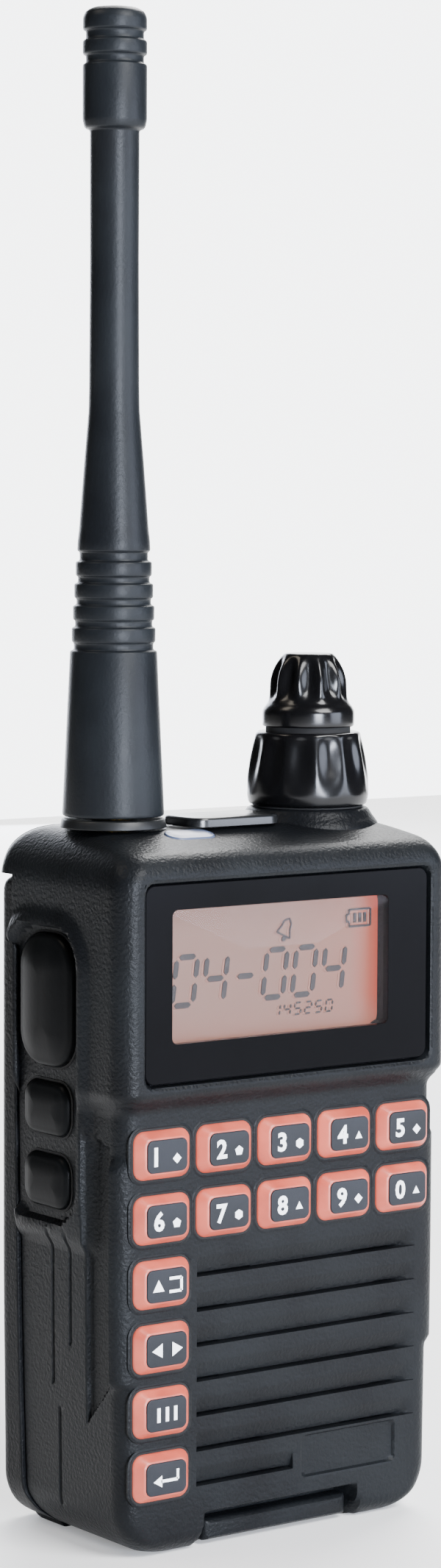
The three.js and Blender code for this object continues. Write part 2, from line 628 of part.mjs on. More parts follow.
function makeAntenna() {
  const foot = BODY_H + GAP;
  const neck = SOCKET_R + GAP;
  const collar = [[neck, foot], [COLLAR_R, foot], [COLLAR_R - GAP, foot + COLLAR_H], [neck, foot + COLLAR_H]];
  piece("antenna_collar", turned([...collar, collar[0]], ANTENNA_X, STACK_Y, FINE_STEPS), WHIP_RUBBER);

  const z0 = foot + COLLAR_H + GAP;
  const tip = BODY_H + ANTENNA_H;
  const sleeveTop = z0 + SLEEVE_H;
  const profile = [[FERRULE_R + GAP, z0], [ANTENNA_FOOT_R, z0], [SLEEVE_TOP_R, sleeveTop]];
  for (let i = 0; i < RIBS; i++) {
    const { deep, h, edge } = RIB_GROOVE;
    const rib = RIB_R - RIB_TAPER * i;
    const base = sleeveTop + RIB_FOOT + RIB_PITCH * i;
    profile.push([rib - deep, base], [rib - deep, base + h], [rib, base + h + edge], [rib, base + RIB_TOP]);
  }
  profile.push(...WHIP.map(([r, up]) => [r, sleeveTop + up]));
  profile.push(...WHIP_CAP.map(([r, down]) => [r, tip - down]));
  const bore = z0 + FERRULE_BORE;
  profile.push([0, bore], [FERRULE_R + GAP, bore]);
  piece("antenna_whip", turned([...profile, profile[0]], ANTENNA_X, STACK_Y), WHIP_RUBBER);

  const ferruleTop = bore - GAP;
  const ferruleFoot = z0 + FERRULE_SUNK;
  const ferrule = [[0, SOCKET_TOP + GAP], [neck, SOCKET_TOP + GAP], [neck, ferruleFoot]];
  ferrule.push([FERRULE_R, ferruleFoot], [FERRULE_R, ferruleTop], [0, ferruleTop]);
  piece("antenna_ferrule", turned(ferrule, ANTENNA_X, STACK_Y), BRASS);

  const flange = ROOF_Z - GAP;
  const flangeFoot = flange - SOCKET_FLANGE_T;
  const flangeR = SOCKET_R + SOCKET_FLANGE;
  const pinFloor = SOCKET_TOP - PIN_DEEP;
  const socket = [[0, flangeFoot], [flangeR, flangeFoot], [flangeR, flange], [SOCKET_R, flange]];
  socket.push([SOCKET_R, SOCKET_TOP], [PIN_R, SOCKET_TOP], [PIN_R, pinFloor], [0, pinFloor]);
  piece("antenna_socket", turned(socket, ANTENNA_X, STACK_Y), BRASS);
}

const CHANNEL_Z = BODY_H + BOSS_H + GAP;
const CHANNEL_TOP = CHANNEL_Z + CHANNEL_H;
const VOLUME_Z = CHANNEL_TOP + KNOB_GAP;
const VOLUME_TOP = VOLUME_Z + VOLUME_H;
const BUSH_Z = BODY_H + BOSS_H - BUSH_SUNK;
const BUSH_TOP = CHANNEL_Z + BUSH_H;
const OUTER_SHAFT_TOP = CHANNEL_TOP - OUTER_SHAFT_SHORT;
const INNER_SHAFT_TOP = VOLUME_TOP - INNER_SHAFT_SHORT;

function makeControls() {
  const x = CONTROL_X;
  const y = STACK_Y;
  const recess = BUSH_R + BUSH_CLEAR;
  const bore = OUTER_SHAFT_R + GAP;
  const socket = INNER_SHAFT_R + GAP;
  const skin = (table, r, z) => table.map(([inside, up, hollow]) => [r - inside, z + up, hollow]);
  const channel = [
    [recess, CHANNEL_Z],
    ...skin(CHANNEL_SKIN, CHANNEL_R, CHANNEL_Z),
    [CHANNEL_R - CHANNEL_RIM, CHANNEL_TOP],
    [socket, CHANNEL_TOP],
    [socket, OUTER_SHAFT_TOP + GAP],
    [bore, OUTER_SHAFT_TOP + GAP],
    [bore, BUSH_TOP + GAP],
    [recess, BUSH_TOP + GAP],
  ];
  const sides = FLUTES * FLUTE_STEPS;
  piece("channel_knob", turned([...channel, channel[0]], x, y, sides, FLUTES), KNOB_GLOSS);
  const volume = [
    [socket, VOLUME_Z],
    ...skin(VOLUME_SKIN, VOLUME_R, VOLUME_Z),
    [VOLUME_R - VOLUME_RIM, VOLUME_TOP],
    [0, VOLUME_TOP],
    [0, INNER_SHAFT_TOP + GAP],
    [socket, INNER_SHAFT_TOP + GAP],
  ];
  piece("volume_knob", turned([...volume, volume[0]], x, y, sides, FLUTES), KNOB_GLOSS);

  const body = ROOF_Z - GAP;
  const shaftFoot = body + GAP;
  const tube = [
    [socket, shaftFoot],
    [OUTER_SHAFT_R, shaftFoot],
    [OUTER_SHAFT_R, OUTER_SHAFT_TOP],
    [socket, OUTER_SHAFT_TOP],
  ];
  piece("channel_shaft", turned([...tube, tube[0]], x, y), BRASS);
  piece("volume_shaft", rodZ(INNER_SHAFT_R, shaftFoot, INNER_SHAFT_TOP, x, y, SMALL_STEPS), STEEL);

  const nut = [
    [bore, BUSH_Z],
    [BUSH_R, BUSH_Z],
    [BUSH_R, BUSH_TOP],
    [bore, BUSH_TOP],
  ];
  piece("control_bush", turned([...nut, nut[0]], x, y), BRASS);
  const c = CONTROL_BOX;
  piece("control_unit", box(x - c, x + c, y - c, y + c, body - CONTROL_BOX_H, body), TIN);
}

function makeTopFittings() {
  const floor = BODY_H + GAP;
  const cover = roundRect(COVER.x0, COVER.x1, COVER.y0, COVER.y1, COVER.r);
  piece("jack_cover", alongZ(cover, floor, floor + COVER.t, COVER.edge), RUBBER);
  for (const { name, x, bore } of JACKS) {
    const top = ROOF_Z - GAP;
    const foot = top - JACK_H;
    const nose = BODY_H - GAP;
    const neck = bore + JACK_WALL;
    const jack = [[0, foot], [JACK_R, foot], [JACK_R, top], [neck, top], [neck, nose]];
    jack.push([bore, nose], [bore, foot + JACK_FLOOR], [0, foot + JACK_FLOOR]);
    piece(name, turned(jack, x, JACK_Y, SMALL_STEPS), RUBBER);
  }
  const lamp = alongZ(ellipse(LAMP, 0), LAMP_TOP - LAMP.t, LAMP_TOP, LAMP.edge);
  piece("lamp_lens", lamp, LAMP_CLEAR);
}

// ---- Cases ----------------------------------------------------------------------------------
const FRONT_ROOF_Z = BODY_H - ROOF_STEP;
const OPEN_TOP = HOOD_Z - ROOM_SHORT;
const PAN_X = BLOCK_W / 2 + PAN_SIDE;
const PAN_Y = SEAM_Y - BLOCK_DEEP - PAN_DEEP; // front of the pan that takes the battery block
const PLATE_Y = SEAM_Y - PAN_WALL;
const PAN_TOP = ROOF_Z - GAP - CONTROL_BOX_H - PAN_DROP;
const SCREW_X = INNER_X - BOSS_POST_R + HAIR; // the posts run into the side walls
const SCREW_Z = [FLOOR_WALL + SCREW_ABOVE, OPEN_TOP - SCREW_BELOW];
const SCREWS = SCREW_Z.flatMap((z) => [-SCREW_X, SCREW_X].map((x) => ({ x, z })));
const LATCH_LIP_Y = FRONT_Y + LATCH_TRAVEL + LATCH_BEHIND;

function makeFrontCase() {
  const head = alongY(
    roundRect(-HALF_W, HALF_W, HEAD_Z, BODY_H, HEAD_EDGE_R + HAIR, TOP_CORNER_R),
    FRONT_Y,
    BACK_Y,
    HEAD_EDGE_R,
  );
  const trunk = alongY(
    roundRect(-TRUNK_W, TRUNK_W, 0, HEAD_Z + TRUNK_LAP, FOOT_CORNER_R, EDGE_R + HAIR),
    KEYPAD_Y,
    BACK_Y,
    EDGE_R,
  );
  const cheekX = TRUNK_W + CHEEK_PROUD;
  const cheekZ = [POCKET_Z0 - CHEEK.below, HEAD_Z + CHEEK.above];
  const cheek = alongY(
    roundRect(-cheekX, cheekX, ...cheekZ, CHEEK.low, CHEEK.high),
    KEYPAD_Y + CHEEK.front,
    BACK_Y,
    CHEEK_PROUD,
  );
  const ribZ = HEAD_Z - GRIP_RIB.top;
  const ribY = KEYPAD_Y + GRIP_RIB.front;
  const ribs = [-TRUNK_W, TRUNK_W].map((x) => {
    const side = roundRect(x - RIB_PROUD, x + RIB_PROUD, ribZ - GRIP_RIB.length, ribZ, GRIP_RIB.r);
    return alongY(side, ribY, ribY + GRIP_RIB.w, GRIP_RIB.edge);
  });
  const bossTop = BODY_H + BOSS_H;
  const bossFoot = BOSS_R + BOSS_FLARE;
  const boss = turned(
    [[0, BODY_H - PAST], [bossFoot, BODY_H - PAST], [bossFoot, BODY_H + HAIR],
      [BOSS_R, bossTop - BOSS_EDGE], [BOSS_R - BOSS_EDGE, bossTop], [0, bossTop]],
    CONTROL_X,
    STACK_Y,
    BOSS_STEPS,
  );
  const slopeY = ROOF_STEP_Y + SLOPE_BACK;
  const slope = alongX(
    polygon(
      [FRONT_Y - PAST, BODY_H - SLOPE_DROP],
      [slopeY, BODY_H],
      [slopeY, BODY_H + PAST],
      [FRONT_Y - PAST, BODY_H + PAST],
    ),
    -BODY_W,
    BODY_W,
  );
  const outside = cut(join(head, trunk, cheek, ...ribs, boss), slope);

  const behindSeam = box(-BODY_W, BODY_W, SEAM_Y, BACK_Y + PAST, -PAST, HOOD_Z);
  const room = join(
    box(-INNER_X, INNER_X, INNER_Y, SEAM_Y + PAST, FLOOR_WALL, OPEN_TOP),
    box(-INNER_X, INNER_X, INNER_Y, PLATE_Y, FLOOR_WALL, FRONT_ROOF_Z),
    box(-INNER_X + 1, INNER_X - 1, ROOF_STEP_Y, PLATE_Y, FLOOR_WALL, ROOF_Z),
  );
  const postY = BOARD_Y + BOARD_T + 1;
  const posts = SCREWS.map(({ x, z }) => rodY(BOSS_POST_R, postY, PLATE_Y - GAP, x, z, SMALL_STEPS));
  const pilots = SCREWS.map(({ x, z }) => rodY(SCREW_R + GAP, 0, SEAM_Y, x, z, COARSE_STEPS));

  const lensBed = alongY(
    roundRect(-LENS_X - GAP, LENS_X + GAP, LENS_Z0 - GAP, LENS_Z1 + GAP, LENS_R + GAP),
    FRONT_Y - PAST,
    LENS_Y + LENS_T + GAP,
  );
  const windowX = LENS_X - WINDOW_MARGIN;
  const windowZ = [LENS_Z0 + WINDOW_MARGIN, LENS_Z1 - WINDOW_TOP_MARGIN];
  const window = box(-windowX, windowX, FRONT_Y, INNER_Y + PAST, ...windowZ);
  const keyHoles = KEYS.map((key) => {
    const hole = keyOutline(key, KEY_SLIT, KEY_SLIT, KEY_R + KEY_SLIT);
    return alongY(hole, KEYPAD_Y - PAST, INNER_Y + PAST, 0, KEY_CORNER_STEPS);
  });
  const pocketY = [SIDE_Y1 - PTT_DEPTH - POCKET_FRONT, SEAM_Y + POCKET_R];
  const pocket = alongX(
    roundRect(...pocketY, POCKET_Z0, POCKET_Z1, POCKET_R), -HALF_W - PAST, -POCKET_X,
  );
  const sideHoles = SIDE_KEYS.map((key) =>
    alongX(sideOutline(key, KEY_SLIT, SIDE_KEY_R + KEY_SLIT), -HALF_W - PAST, -INNER_X + PAST),
  );
  const roof = [ROOF_Z - PAST, bossTop + PAST];
  const topHoles = [
    rodZ(SOCKET_R + GAP, ...roof, ANTENNA_X, STACK_Y),
    rodZ(OUTER_SHAFT_R + GAP, ...roof, CONTROL_X, STACK_Y),
    rodZ(BUSH_R + GAP, BUSH_Z - GAP, bossTop + PAST, CONTROL_X, STACK_Y),
    ...JACKS.map(({ x, bore }) => rodZ(bore + JACK_WALL + GAP, ...roof, x, JACK_Y, SMALL_STEPS)),
    alongZ(ellipse(LAMP, GAP), FRONT_ROOF_Z - PAST, BODY_H + PAST, 0, LAMP_STEPS),
  ];
  const scoop = alongY(
    polygon(
      [-SCOOP.half, -PAST], [SCOOP.half, -PAST], [SCOOP.topHalf, SCOOP.h], [-SCOOP.topHalf, SCOOP.h],
    ),
    FRONT_Y - PAST,
    FRONT_Y + SCOOP.deep,
  );
  const latchX = LATCH_W / 2 + GAP;
  const latchBed = box(
    -latchX, latchX, FRONT_Y - PAST, SEAM_Y + PAST, -PAST, LATCH_Z + LATCH_T + GAP,
  );
  const shell = join(cut(outside, behindSeam, room), ...posts);
  const drilled = cut(shell, ...pilots, lensBed, window, ...keyHoles, pocket, ...sideHoles);
  piece("front_case", cut(drilled, ...topHoles, scoop, latchBed, ...grilleCuts()), CASE_BLACK);
}

function makeChassis(switchBack) {
  const low = FLOOR_WALL + GAP;
  const plate = box(-INNER_X + GAP, INNER_X - GAP, PLATE_Y, SEAM_Y, low, OPEN_TOP - GAP);
  const pan = box(-PAN_X, PAN_X, PAN_Y, SEAM_Y, low, PAN_TOP);
  const pocketX = BLOCK_W / 2 + PLAY;
  const pocketZ = [low + PAN_WALL, PAN_TOP - PAN_WALL];
  const pocket = box(-pocketX, pocketX, PAN_Y + PAN_WALL, SEAM_Y + PAST, ...pocketZ);
  const notchZ = [POCKET_Z0, SCREW_Z[1] - BOSS_POST_R];
  const notch = box(-BODY_W, -switchBack + PLAY, FRONT_Y, SEAM_Y + PAST, ...notchZ);
  const headY = SEAM_Y - SCREW_HEAD_T - HAIR;
  const holes = SCREWS.flatMap(({ x, z }) => [
    rodY(SCREW_R + GAP, PLATE_Y - PAST, SEAM_Y + PAST, x, z, COARSE_STEPS),
    rodY(SCREW_HEAD_R + GAP, headY, SEAM_Y + PAST, x, z, SMALL_STEPS),
  ]);
  const slots = CONTACTS.map(({ x }) => {
    const half = SPRING.half + GAP;
    const halfH = SPRING.halfH + GAP;
    const y = [PAN_Y - PAST, PAN_Y + PAN_WALL + PAST];
    return box(x - half, x + half, ...y, CONTACT_Z - halfH, CONTACT_Z + halfH);
  });
  piece("rear_chassis", cut(join(plate, pan), pocket, notch, ...holes, ...slots), TIN);

  const top = headY + HAIR / 2;
  SCREWS.forEach(({ x, z }, i) => {
    const head = rodY(SCREW_HEAD_R, top, top + SCREW_HEAD_T, x, z, SMALL_STEPS);
    const shank = rodY(SCREW_R, PLATE_Y - SCREW_L, top + SCREW_HEAD_T / 2, x, z, COARSE_STEPS);
    piece("case_screw_" + (i + 1), join(head, shank), STEEL);
  });
}

// ---- Boards ---------------------------------------------------------------------------------
function makeBoards() {
  const edge = INNER_X - BOARD_SIDE;
  const back = BOARD_Y + BOARD_T;
  const boardZ = [FLOOR_WALL + BOARD_ABOVE, FRONT_ROOF_Z - BOARD_BELOW];
  const board = cut(
    box(-edge, edge, BOARD_Y, back, ...boardZ),
    rodY(SPEAKER_R + 1, BOARD_Y - PAST, back + PAST, SPEAKER_X, SPEAKER_Z, FINE_STEPS),
  );
  piece("main_board", board, BOARD_GREEN);
  const { side, behind, above, below } = SHIELD;
  const shieldX = PAN_X - side;
  const shieldZ = [SPEAKER_Z + SPEAKER_R + above, ROOF_Z - CONTROL_BOX_H - below];
  piece("radio_shield", box(-shieldX, shieldX, back + GAP, PAN_Y - behind, ...shieldZ), TIN);
}

// ---- Battery and latch ----------------------------------------------------------------------
const CONTACTS = [
  { name: "plus", x: -CONTACT_X },
  { name: "minus", x: CONTACT_X },
];
const BLOCK_Z0 = FLOOR_WALL + GAP + PAN_WALL + SWING_GAP;
const BLOCK_Z1 = PAN_TOP - PAN_WALL - PLAY;
const BLOCK_Y = PAN_Y + PAN_WALL + PLAY;

function makeBattery() {
  const slabY = SEAM_Y + GAP;
  const slabX = TRUNK_W + BATTERY_PROUD;
  const slab = alongY(
    roundRect(-slabX, slabX, GAP, HOOD_Z - GAP, FOOT_CORNER_R, SLAB_R + HAIR),
    slabY - SLAB_R,
    BACK_Y,
    SLAB_R,
  );
  const front = box(-BODY_W, BODY_W, FRONT_Y, slabY, -PAST, BODY_H);
  const half = BLOCK_W / 2;
  const block = box(-half, half, BLOCK_Y, slabY + PAST, BLOCK_Z0, BLOCK_Z1);
  const wall = BATTERY_WALL;
  const roomX = half - wall;
  const roomZ = [BLOCK_Z0 + wall, BLOCK_Z1 - wall];
  const room = box(-roomX, roomX, BLOCK_Y - PAST, BACK_Y - wall, ...roomZ);
  piece("battery_case", cut(join(cut(slab, front), block), room), CASE_BLACK);

  const plate = (x, y0, y1, { half: w, halfH: h }, grow = 0) =>
    box(x - w - grow, x + w + grow, y0, y1, CONTACT_Z - h - grow, CONTACT_Z + h + grow);
  const lid = roomX - GAP;
  const beds = CONTACTS.map(({ x }) =>
    plate(x, BLOCK_Y - PAST, BLOCK_Y + CONTACT.t + GAP, CONTACT, GAP),
  );
  const cover = box(-lid, lid, BLOCK_Y, BLOCK_Y + LID_T, roomZ[0] + GAP, roomZ[1] - GAP);
  piece("battery_cover", cut(cover, ...beds), CASE_BLACK);
  const cellY = [BLOCK_Y + LID_T + GAP, BACK_Y - wall - GAP];
  const cellZ = [roomZ[0] + CELL_GAP, roomZ[1] - CELL_GAP];
  for (const [name, x] of [["left", [-lid, -GAP]], ["right", [GAP, lid]]]) {
    const cell = roundRect(...x, ...cellZ, CELL_R);
    piece("battery_cell_" + name, alongY(cell, ...cellY, CELL_EDGE, RIM_STEPS), CELL_WRAP);
  }
  for (const { name, x } of CONTACTS) {
    piece("battery_contact_" + name, plate(x, BLOCK_Y, BLOCK_Y + CONTACT.t, CONTACT), BRASS);
    const spring = plate(x, PAN_Y - SPRING.behind, BLOCK_Y - GAP, SPRING);
    piece("contact_spring_" + name, spring, BRASS);
  }
}

function makeLatch() {
  const half = LATCH_W / 2;
  const tray = box(-half, half, LATCH_LIP_Y, SEAM_Y - GAP, LATCH_Z, LATCH_Z + LATCH_T);
  const foot = LATCH_Z - LIP.below;
  const lip = box(
    -half, half, LATCH_LIP_Y - LIP.front, LATCH_LIP_Y + LIP.back, foot, foot + LIP.h,
  );
  piece("battery_latch", join(tray, lip), CASE_BLACK);
}

// ---- The radio ------------------------------------------------------------------------------
makeFrontCase();
makeKeys();
makeDisplay();
makeSound();
const switchBack = makeSideButtons();
makeChassis(switchBack);
makeBoards();
makeAntenna();
makeControls();
makeTopFittings();
makeBattery();
makeLatch();

export default PARTS;
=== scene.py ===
# %% [markdown]
# # A handheld two-way radio
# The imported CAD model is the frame: it fixes where every piece is and how it moves. This lesson lays the
# finished surfaces over that frame. The shapes are grids of points worked out with numpy, because a moulded
# case is easiest to describe as a few smooth outlines that change along its height.

# %% Load the frame
import math

import bmesh
import bpy
import numpy as np
from mathutils import Matrix, Vector


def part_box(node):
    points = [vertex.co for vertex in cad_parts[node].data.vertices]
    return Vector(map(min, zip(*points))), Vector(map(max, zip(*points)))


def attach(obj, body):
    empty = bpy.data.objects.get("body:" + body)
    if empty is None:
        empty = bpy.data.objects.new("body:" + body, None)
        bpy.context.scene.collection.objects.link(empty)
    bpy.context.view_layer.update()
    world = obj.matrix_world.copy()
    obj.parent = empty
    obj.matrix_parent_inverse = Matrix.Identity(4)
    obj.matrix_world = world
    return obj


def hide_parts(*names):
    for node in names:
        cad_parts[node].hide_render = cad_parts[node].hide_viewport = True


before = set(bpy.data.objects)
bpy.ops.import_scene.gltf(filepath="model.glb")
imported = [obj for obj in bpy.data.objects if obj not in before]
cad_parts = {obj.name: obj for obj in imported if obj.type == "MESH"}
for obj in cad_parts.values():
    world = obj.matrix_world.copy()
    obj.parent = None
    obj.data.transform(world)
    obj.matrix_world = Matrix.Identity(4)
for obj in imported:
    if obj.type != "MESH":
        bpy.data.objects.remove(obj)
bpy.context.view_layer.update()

MM = 0.001

# %% [markdown]
# ## The camera
# The radio is seen a little from its left and from just above the middle of its height. The camera is
# placed by an aim point on the radio, two angles and a distance, and a long lens keeps the perspective mild.

# %% Camera
AIM = Vector((-12.45, -15.8, 105.94)) * MM
AZIMUTH, ELEVATION, ROLL = math.radians(-36.49), math.radians(4.3), math.radians(0.255)
DISTANCE = 515.6 * MM
LONG_SIDE_MM = 36.0
LENS_MM = 87.23
NEAREST_M, FARTHEST_M = 0.01, 20

reach = math.cos(ELEVATION)
back = Vector((math.sin(AZIMUTH) * reach, -math.cos(AZIMUTH) * reach, math.sin(ELEVATION)))
level = Vector((math.cos(AZIMUTH), math.sin(AZIMUTH), 0))
upward = back.cross(level)
right = level * math.cos(ROLL) + upward * math.sin(ROLL)
camera_data = bpy.data.cameras.new("camera")
camera_data.sensor_width, camera_data.lens = LONG_SIDE_MM, LENS_MM
camera_data.clip_start, camera_data.clip_end = NEAREST_M, FARTHEST_M
camera = bpy.data.objects.new("camera", camera_data)
turn = Matrix((right, back.cross(right), back)).transposed().to_4x4()
camera.matrix_world = Matrix.Translation(AIM + back * DISTANCE) @ turn
bpy.context.collection.objects.link(camera)
bpy.context.scene.camera = camera
print("camera at", [round(v, 4) for v in camera.location])

# %% [markdown]
# ## Small tools
# `corners` reads a CAD node's box in millimetres, so every place below comes from the frame. `skin` turns
# points and faces into a piece: it merges the points that fall together, turns the faces outwards by the
# sign of the enclosed volume, and rounds the shading except across sharp folds.

# %% Reading the frame and making a mesh
MERGE_MM, SLIVER_MM = 0.004, 0.002


def corners(name):
    """The lowest and highest corner of a CAD node, in millimetres."""
    low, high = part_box(name)
    return np.array(low) / MM, np.array(high) / MM


def skin(name, points, faces, body, slot, material, sharp=35, stands_for=()):
    """A closed mesh from points in millimetres and a list of faces, riding on a body."""
    mesh = bpy.data.meshes.new(name)
    mesh.from_pydata((np.asarray(points, float) * MM).tolist(), [], faces)
    shape = bmesh.new()
    shape.from_mesh(mesh)
    bmesh.ops.remove_doubles(shape, verts=shape.verts, dist=MERGE_MM * MM)
    bmesh.ops.dissolve_degenerate(shape, edges=shape.edges, dist=SLIVER_MM * MM)
    if shape.calc_volume(signed=True) < 0:
        bmesh.ops.reverse_faces(shape, faces=shape.faces)
    shape.to_mesh(mesh)
    shape.free()
    mesh.shade_smooth()
    mesh.set_sharp_from_angle(angle=math.radians(sharp))
    mesh.materials.append(material)
    piece = bpy.data.objects.new(name, mesh)
    bpy.context.collection.objects.link(piece)
    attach(piece, body)
    if stands_for:
        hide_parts(*stands_for)
    return piece


def quads(rows, cols, wrap_rows=False):
    """Faces of a grid whose columns close into a ring, and whose rows do too if asked."""
    i, j = np.meshgrid(np.arange(rows if wrap_rows else rows - 1), np.arange(cols), indexing="ij")
    here, above, beside = i * cols, (i + 1) % rows * cols, (j + 1) % cols
    return np.stack([here + j, here + beside, above + beside, above + j], -1).reshape(-1, 4).tolist()


def capped(rings):
    """Points and faces of a stack of rings with a fan of triangles closing each end.

    rings has the shape (rows, columns, 3). The fan's middle is the mean of its ring.
    """
    rows, cols = rings.shape[:2]
    points = np.vstack([rings.reshape(-1, 3), rings[0].mean(0), rings[-1].mean(0)])
    j = np.arange(cols)
    k = (j + 1) % cols
    last = (rows - 1) * cols
    first_fan = np.stack([k, j, np.full(cols, rows * cols)], -1)
    last_fan = np.stack([last + j, last + k, np.full(cols, rows * cols + 1)], -1)
    return points, quads(rows, cols) + first_fan.tolist() + last_fan.tolist()


# %% [markdown]
# ## Finishes
# Most of the radio is injection moulded. The case is charcoal ABS from a spark-eroded mould, which leaves a
# fine even grain. The keys are translucent silicone lit from behind, the knobs are polished black ABS, the
# antenna is moulded over with a satin rubber, and the display window is hard-coated acrylic. Colours are
# written as sRGB hex values, the way a painter would pick them, and one function makes them linear.

# %% Colour and node helpers
def colour(code):
    """A hex sRGB colour as linear red, green, blue and 1."""
    value = np.array([int(code[i : i + 2], 16) for i in (1, 3, 5)]) / 255
    linear = np.where(value <= 0.04045, value / 12.92, ((value + 0.055) / 1.055) ** 2.4)
    return (*linear.tolist(), 1.0)


def add(tree, kind, inputs, **settings):
    """A node of that kind with its settings, each input set to a value or linked from a socket."""
    made = tree.nodes.new(kind)
    for key, value in settings.items():
        setattr(made, key, value)
    for key, value in inputs.items():
        if isinstance(value, bpy.types.NodeSocket):
            tree.links.new(value, made.inputs[key])
        else:
            made.inputs[key].default_value = value
    return made


def ramp(tree, factor, stops):
    """A colour ramp with stops of (place, hex colour)."""
    made = add(tree, "ShaderNodeValToRGB", {"Fac": factor})
    for element, (place, code) in zip(made.color_ramp.elements, (stops[0], stops[-1])):
        element.position, element.color = place, colour(code)
    for place, code in stops[1:-1]:
        made.color_ramp.elements.new(place).color = colour(code)
    return made.outputs["Color"]


def moulded(name, dark, light, rough, grain_mm=0.0, depth_mm=0.0, patch_mm=14.0, **shader):
    """A moulded plastic or rubber: a colour that drifts a little between two tones over patch_mm, a
    roughness that drifts with it, and a grain of bumps grain_mm across and depth_mm deep."""
    material = bpy.data.materials.new(name)
    material.use_nodes = True
    tree = material.node_tree
    tree.nodes.clear()
    place = add(tree, "ShaderNodeTexCoord", {}).outputs["Object"]
    drift = add(tree, "ShaderNodeTexNoise", {"Vector": place, "Scale": 1 / (patch_mm * MM), "Detail": 3.0})
    spread = add(tree, "ShaderNodeMapRange", {
        "Value": drift.outputs["Fac"], "From Min": 0.3, "From Max": 0.7,
        "To Min": rough - 0.04, "To Max": rough + 0.05,
    })
    inputs = {
        "Base Color": ramp(tree, drift.outputs["Fac"], [(0.35, dark), (0.65, light)]),
        "Roughness": spread.outputs["Result"],
        **{key.replace("_", " "): value for key, value in shader.items()},
    }
    if depth_mm:
        size = 1 / (grain_mm * MM)
        grain = add(tree, "ShaderNodeTexNoise", {"Vector": place, "Scale": size, "Detail": 2.0})
        bump = add(tree, "ShaderNodeBump", {"Height": grain.outputs["Fac"], "Distance": depth_mm * MM})
        inputs["Normal"] = bump.outputs["Normal"]
    surface = add(tree, "ShaderNodeBsdfPrincipled", inputs)
    add(tree, "ShaderNodeOutputMaterial", {"Surface": surface.outputs["BSDF"]})
    return material


# %% The finishes
# The grain of the case is about 0.3 mm; it is drawn at 0.5 mm so that it still shows at arm's length.
CASE = moulded("Charcoal moulded ABS", "#0b0c0e", "#111315", 0.4, 0.5, 0.11, Specular_IOR_Level=0.1)
BATTERY = moulded("Charcoal battery ABS", "#090a0c", "#0f1012", 0.42, 0.5, 0.11, Specular_IOR_Level=0.08)
RECESS = moulded("Smooth recess ABS", "#0d0e0f", "#121314", 0.42, Specular_IOR_Level=0.3)
# Painted shade: black rings set in slits and gaps, where the gaps would fall dark.
SHADOW = moulded("Painted gap shadow", "#050506", "#070708", 0.9)
BUTTON = moulded("Satin button rubber", "#070809", "#0b0c0d", 0.34, 0.8, 0.01, Specular_IOR_Level=0.05)
ANTENNA = moulded(
    "Overmoulded antenna rubber", "#0e1013", "#14171a", 0.42, 0.5, 0.03, Specular_IOR_Level=0.15,
)
KNOB = moulded("Polished black ABS", "#060607", "#09090a", 0.2, patch_mm=30, Specular_IOR_Level=0.3)
JACK_RUBBER = moulded("Glossy jack cover rubber", "#0c0d0e", "#111214", 0.26)
MASK = moulded("Printed lens mask", "#060607", "#08080a", 0.12, patch_mm=30, Specular_IOR_Level=0.03)
LAMP = moulded("Frosted lamp lens", "#3c465e", "#4d5972", 0.32, 0.6, 0.02)
SLATE = moulded("Slate key print", "#14161a", "#1b1d22", 0.42, 0.5, 0.02, Specular_IOR_Level=0.2)
PRINT = moulded("White legend ink", "#e9ebee", "#f6f7f8", 0.5)
BOARD = moulded("Solder resist", "#12402b", "#1b5137", 0.4, 2.0, 0.02)
CLOTH = moulded("Dust cloth", "#08080a", "#141416", 0.95, 0.4, 0.1)
CELL = moulded("Cell wrap", "#2c4a70", "#38597f", 0.4)
DIFFUSER = moulded("White diffuser", "#dad6cc", "#ece9e1", 0.5)
TIN = moulded("Tinned steel", "#a9acae", "#c0c3c5", 0.32, 3.0, 0.02, Metallic=1.0)
STEEL = moulded("Plated steel", "#7e8285", "#96999c", 0.3, 2.0, 0.01, Metallic=1.0)
BRASS = moulded("Turned brass", "#b08a3c", "#caa654", 0.28, 2.0, 0.01, Metallic=1.0)
# Translucent silicone over lamps: it gives off a little warm light of its own.
SILICONE = moulded(
    "Backlit salmon silicone", "#983f30", "#b0503d", 0.36, 0.6, 0.015, patch_mm=5,
    Emission_Color=colour("#e0563a"), Emission_Strength=0.16,
)
print(len(bpy.data.materials), "finishes")

# %% [markdown]
# ## The case
# The front shell is one moulding: a display housing on a keypad housing, rounded at every edge. It can be
# described by level sections. At each height the section is a rectangle with rounded front corners, and four
# lists say its half width, where its front is, where its back is and how round its corners are. The detail
# on it, such as louvres and grip panels, is a second function that pushes the skin in or out along its own
# normal. The rows and columns of the grid are placed where that detail needs them.

# %% Measures read from the frame
case_low, case_high = corners("front_case")
lens_low, lens_high = corners("display_lens")
slab_low, slab_high = corners("battery_case")
key_boxes = {name: corners(name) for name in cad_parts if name.startswith("key_")}
HEAD_HALF = case_high[0]
TRUNK_HALF = HEAD_HALF - 1.3
HEAD_Y = case_low[1]
KEY_FACE_Y = HEAD_Y + 1.85
HEAD_Z, TOP_Z, HOOD_Z = 63.0, 98.8, 92.3
BACK_Y = case_high[1]
EDGE_R, HEAD_R = 3.0, 3.4
FOOT_R, SHOULDER_R = 7.0, 7.5
WALL = 1.4
TAPER, TAPER_Z = 0.35, (0, 40)  # the sides come in by TAPER towards the foot


def ease(value, low, high):
    """0 below low, 1 above high, and the smooth cubic 3t^2 - 2t^3 between them."""
    t = np.clip((value - low) / (high - low), 0, 1)
    return t * t * (3 - 2 * t)


def band(value, low, high, soft):
    """1 between low and high, falling to 0 over soft on each side."""
    return ease(value, low - soft, low) * (1 - ease(value, high, high + soft))


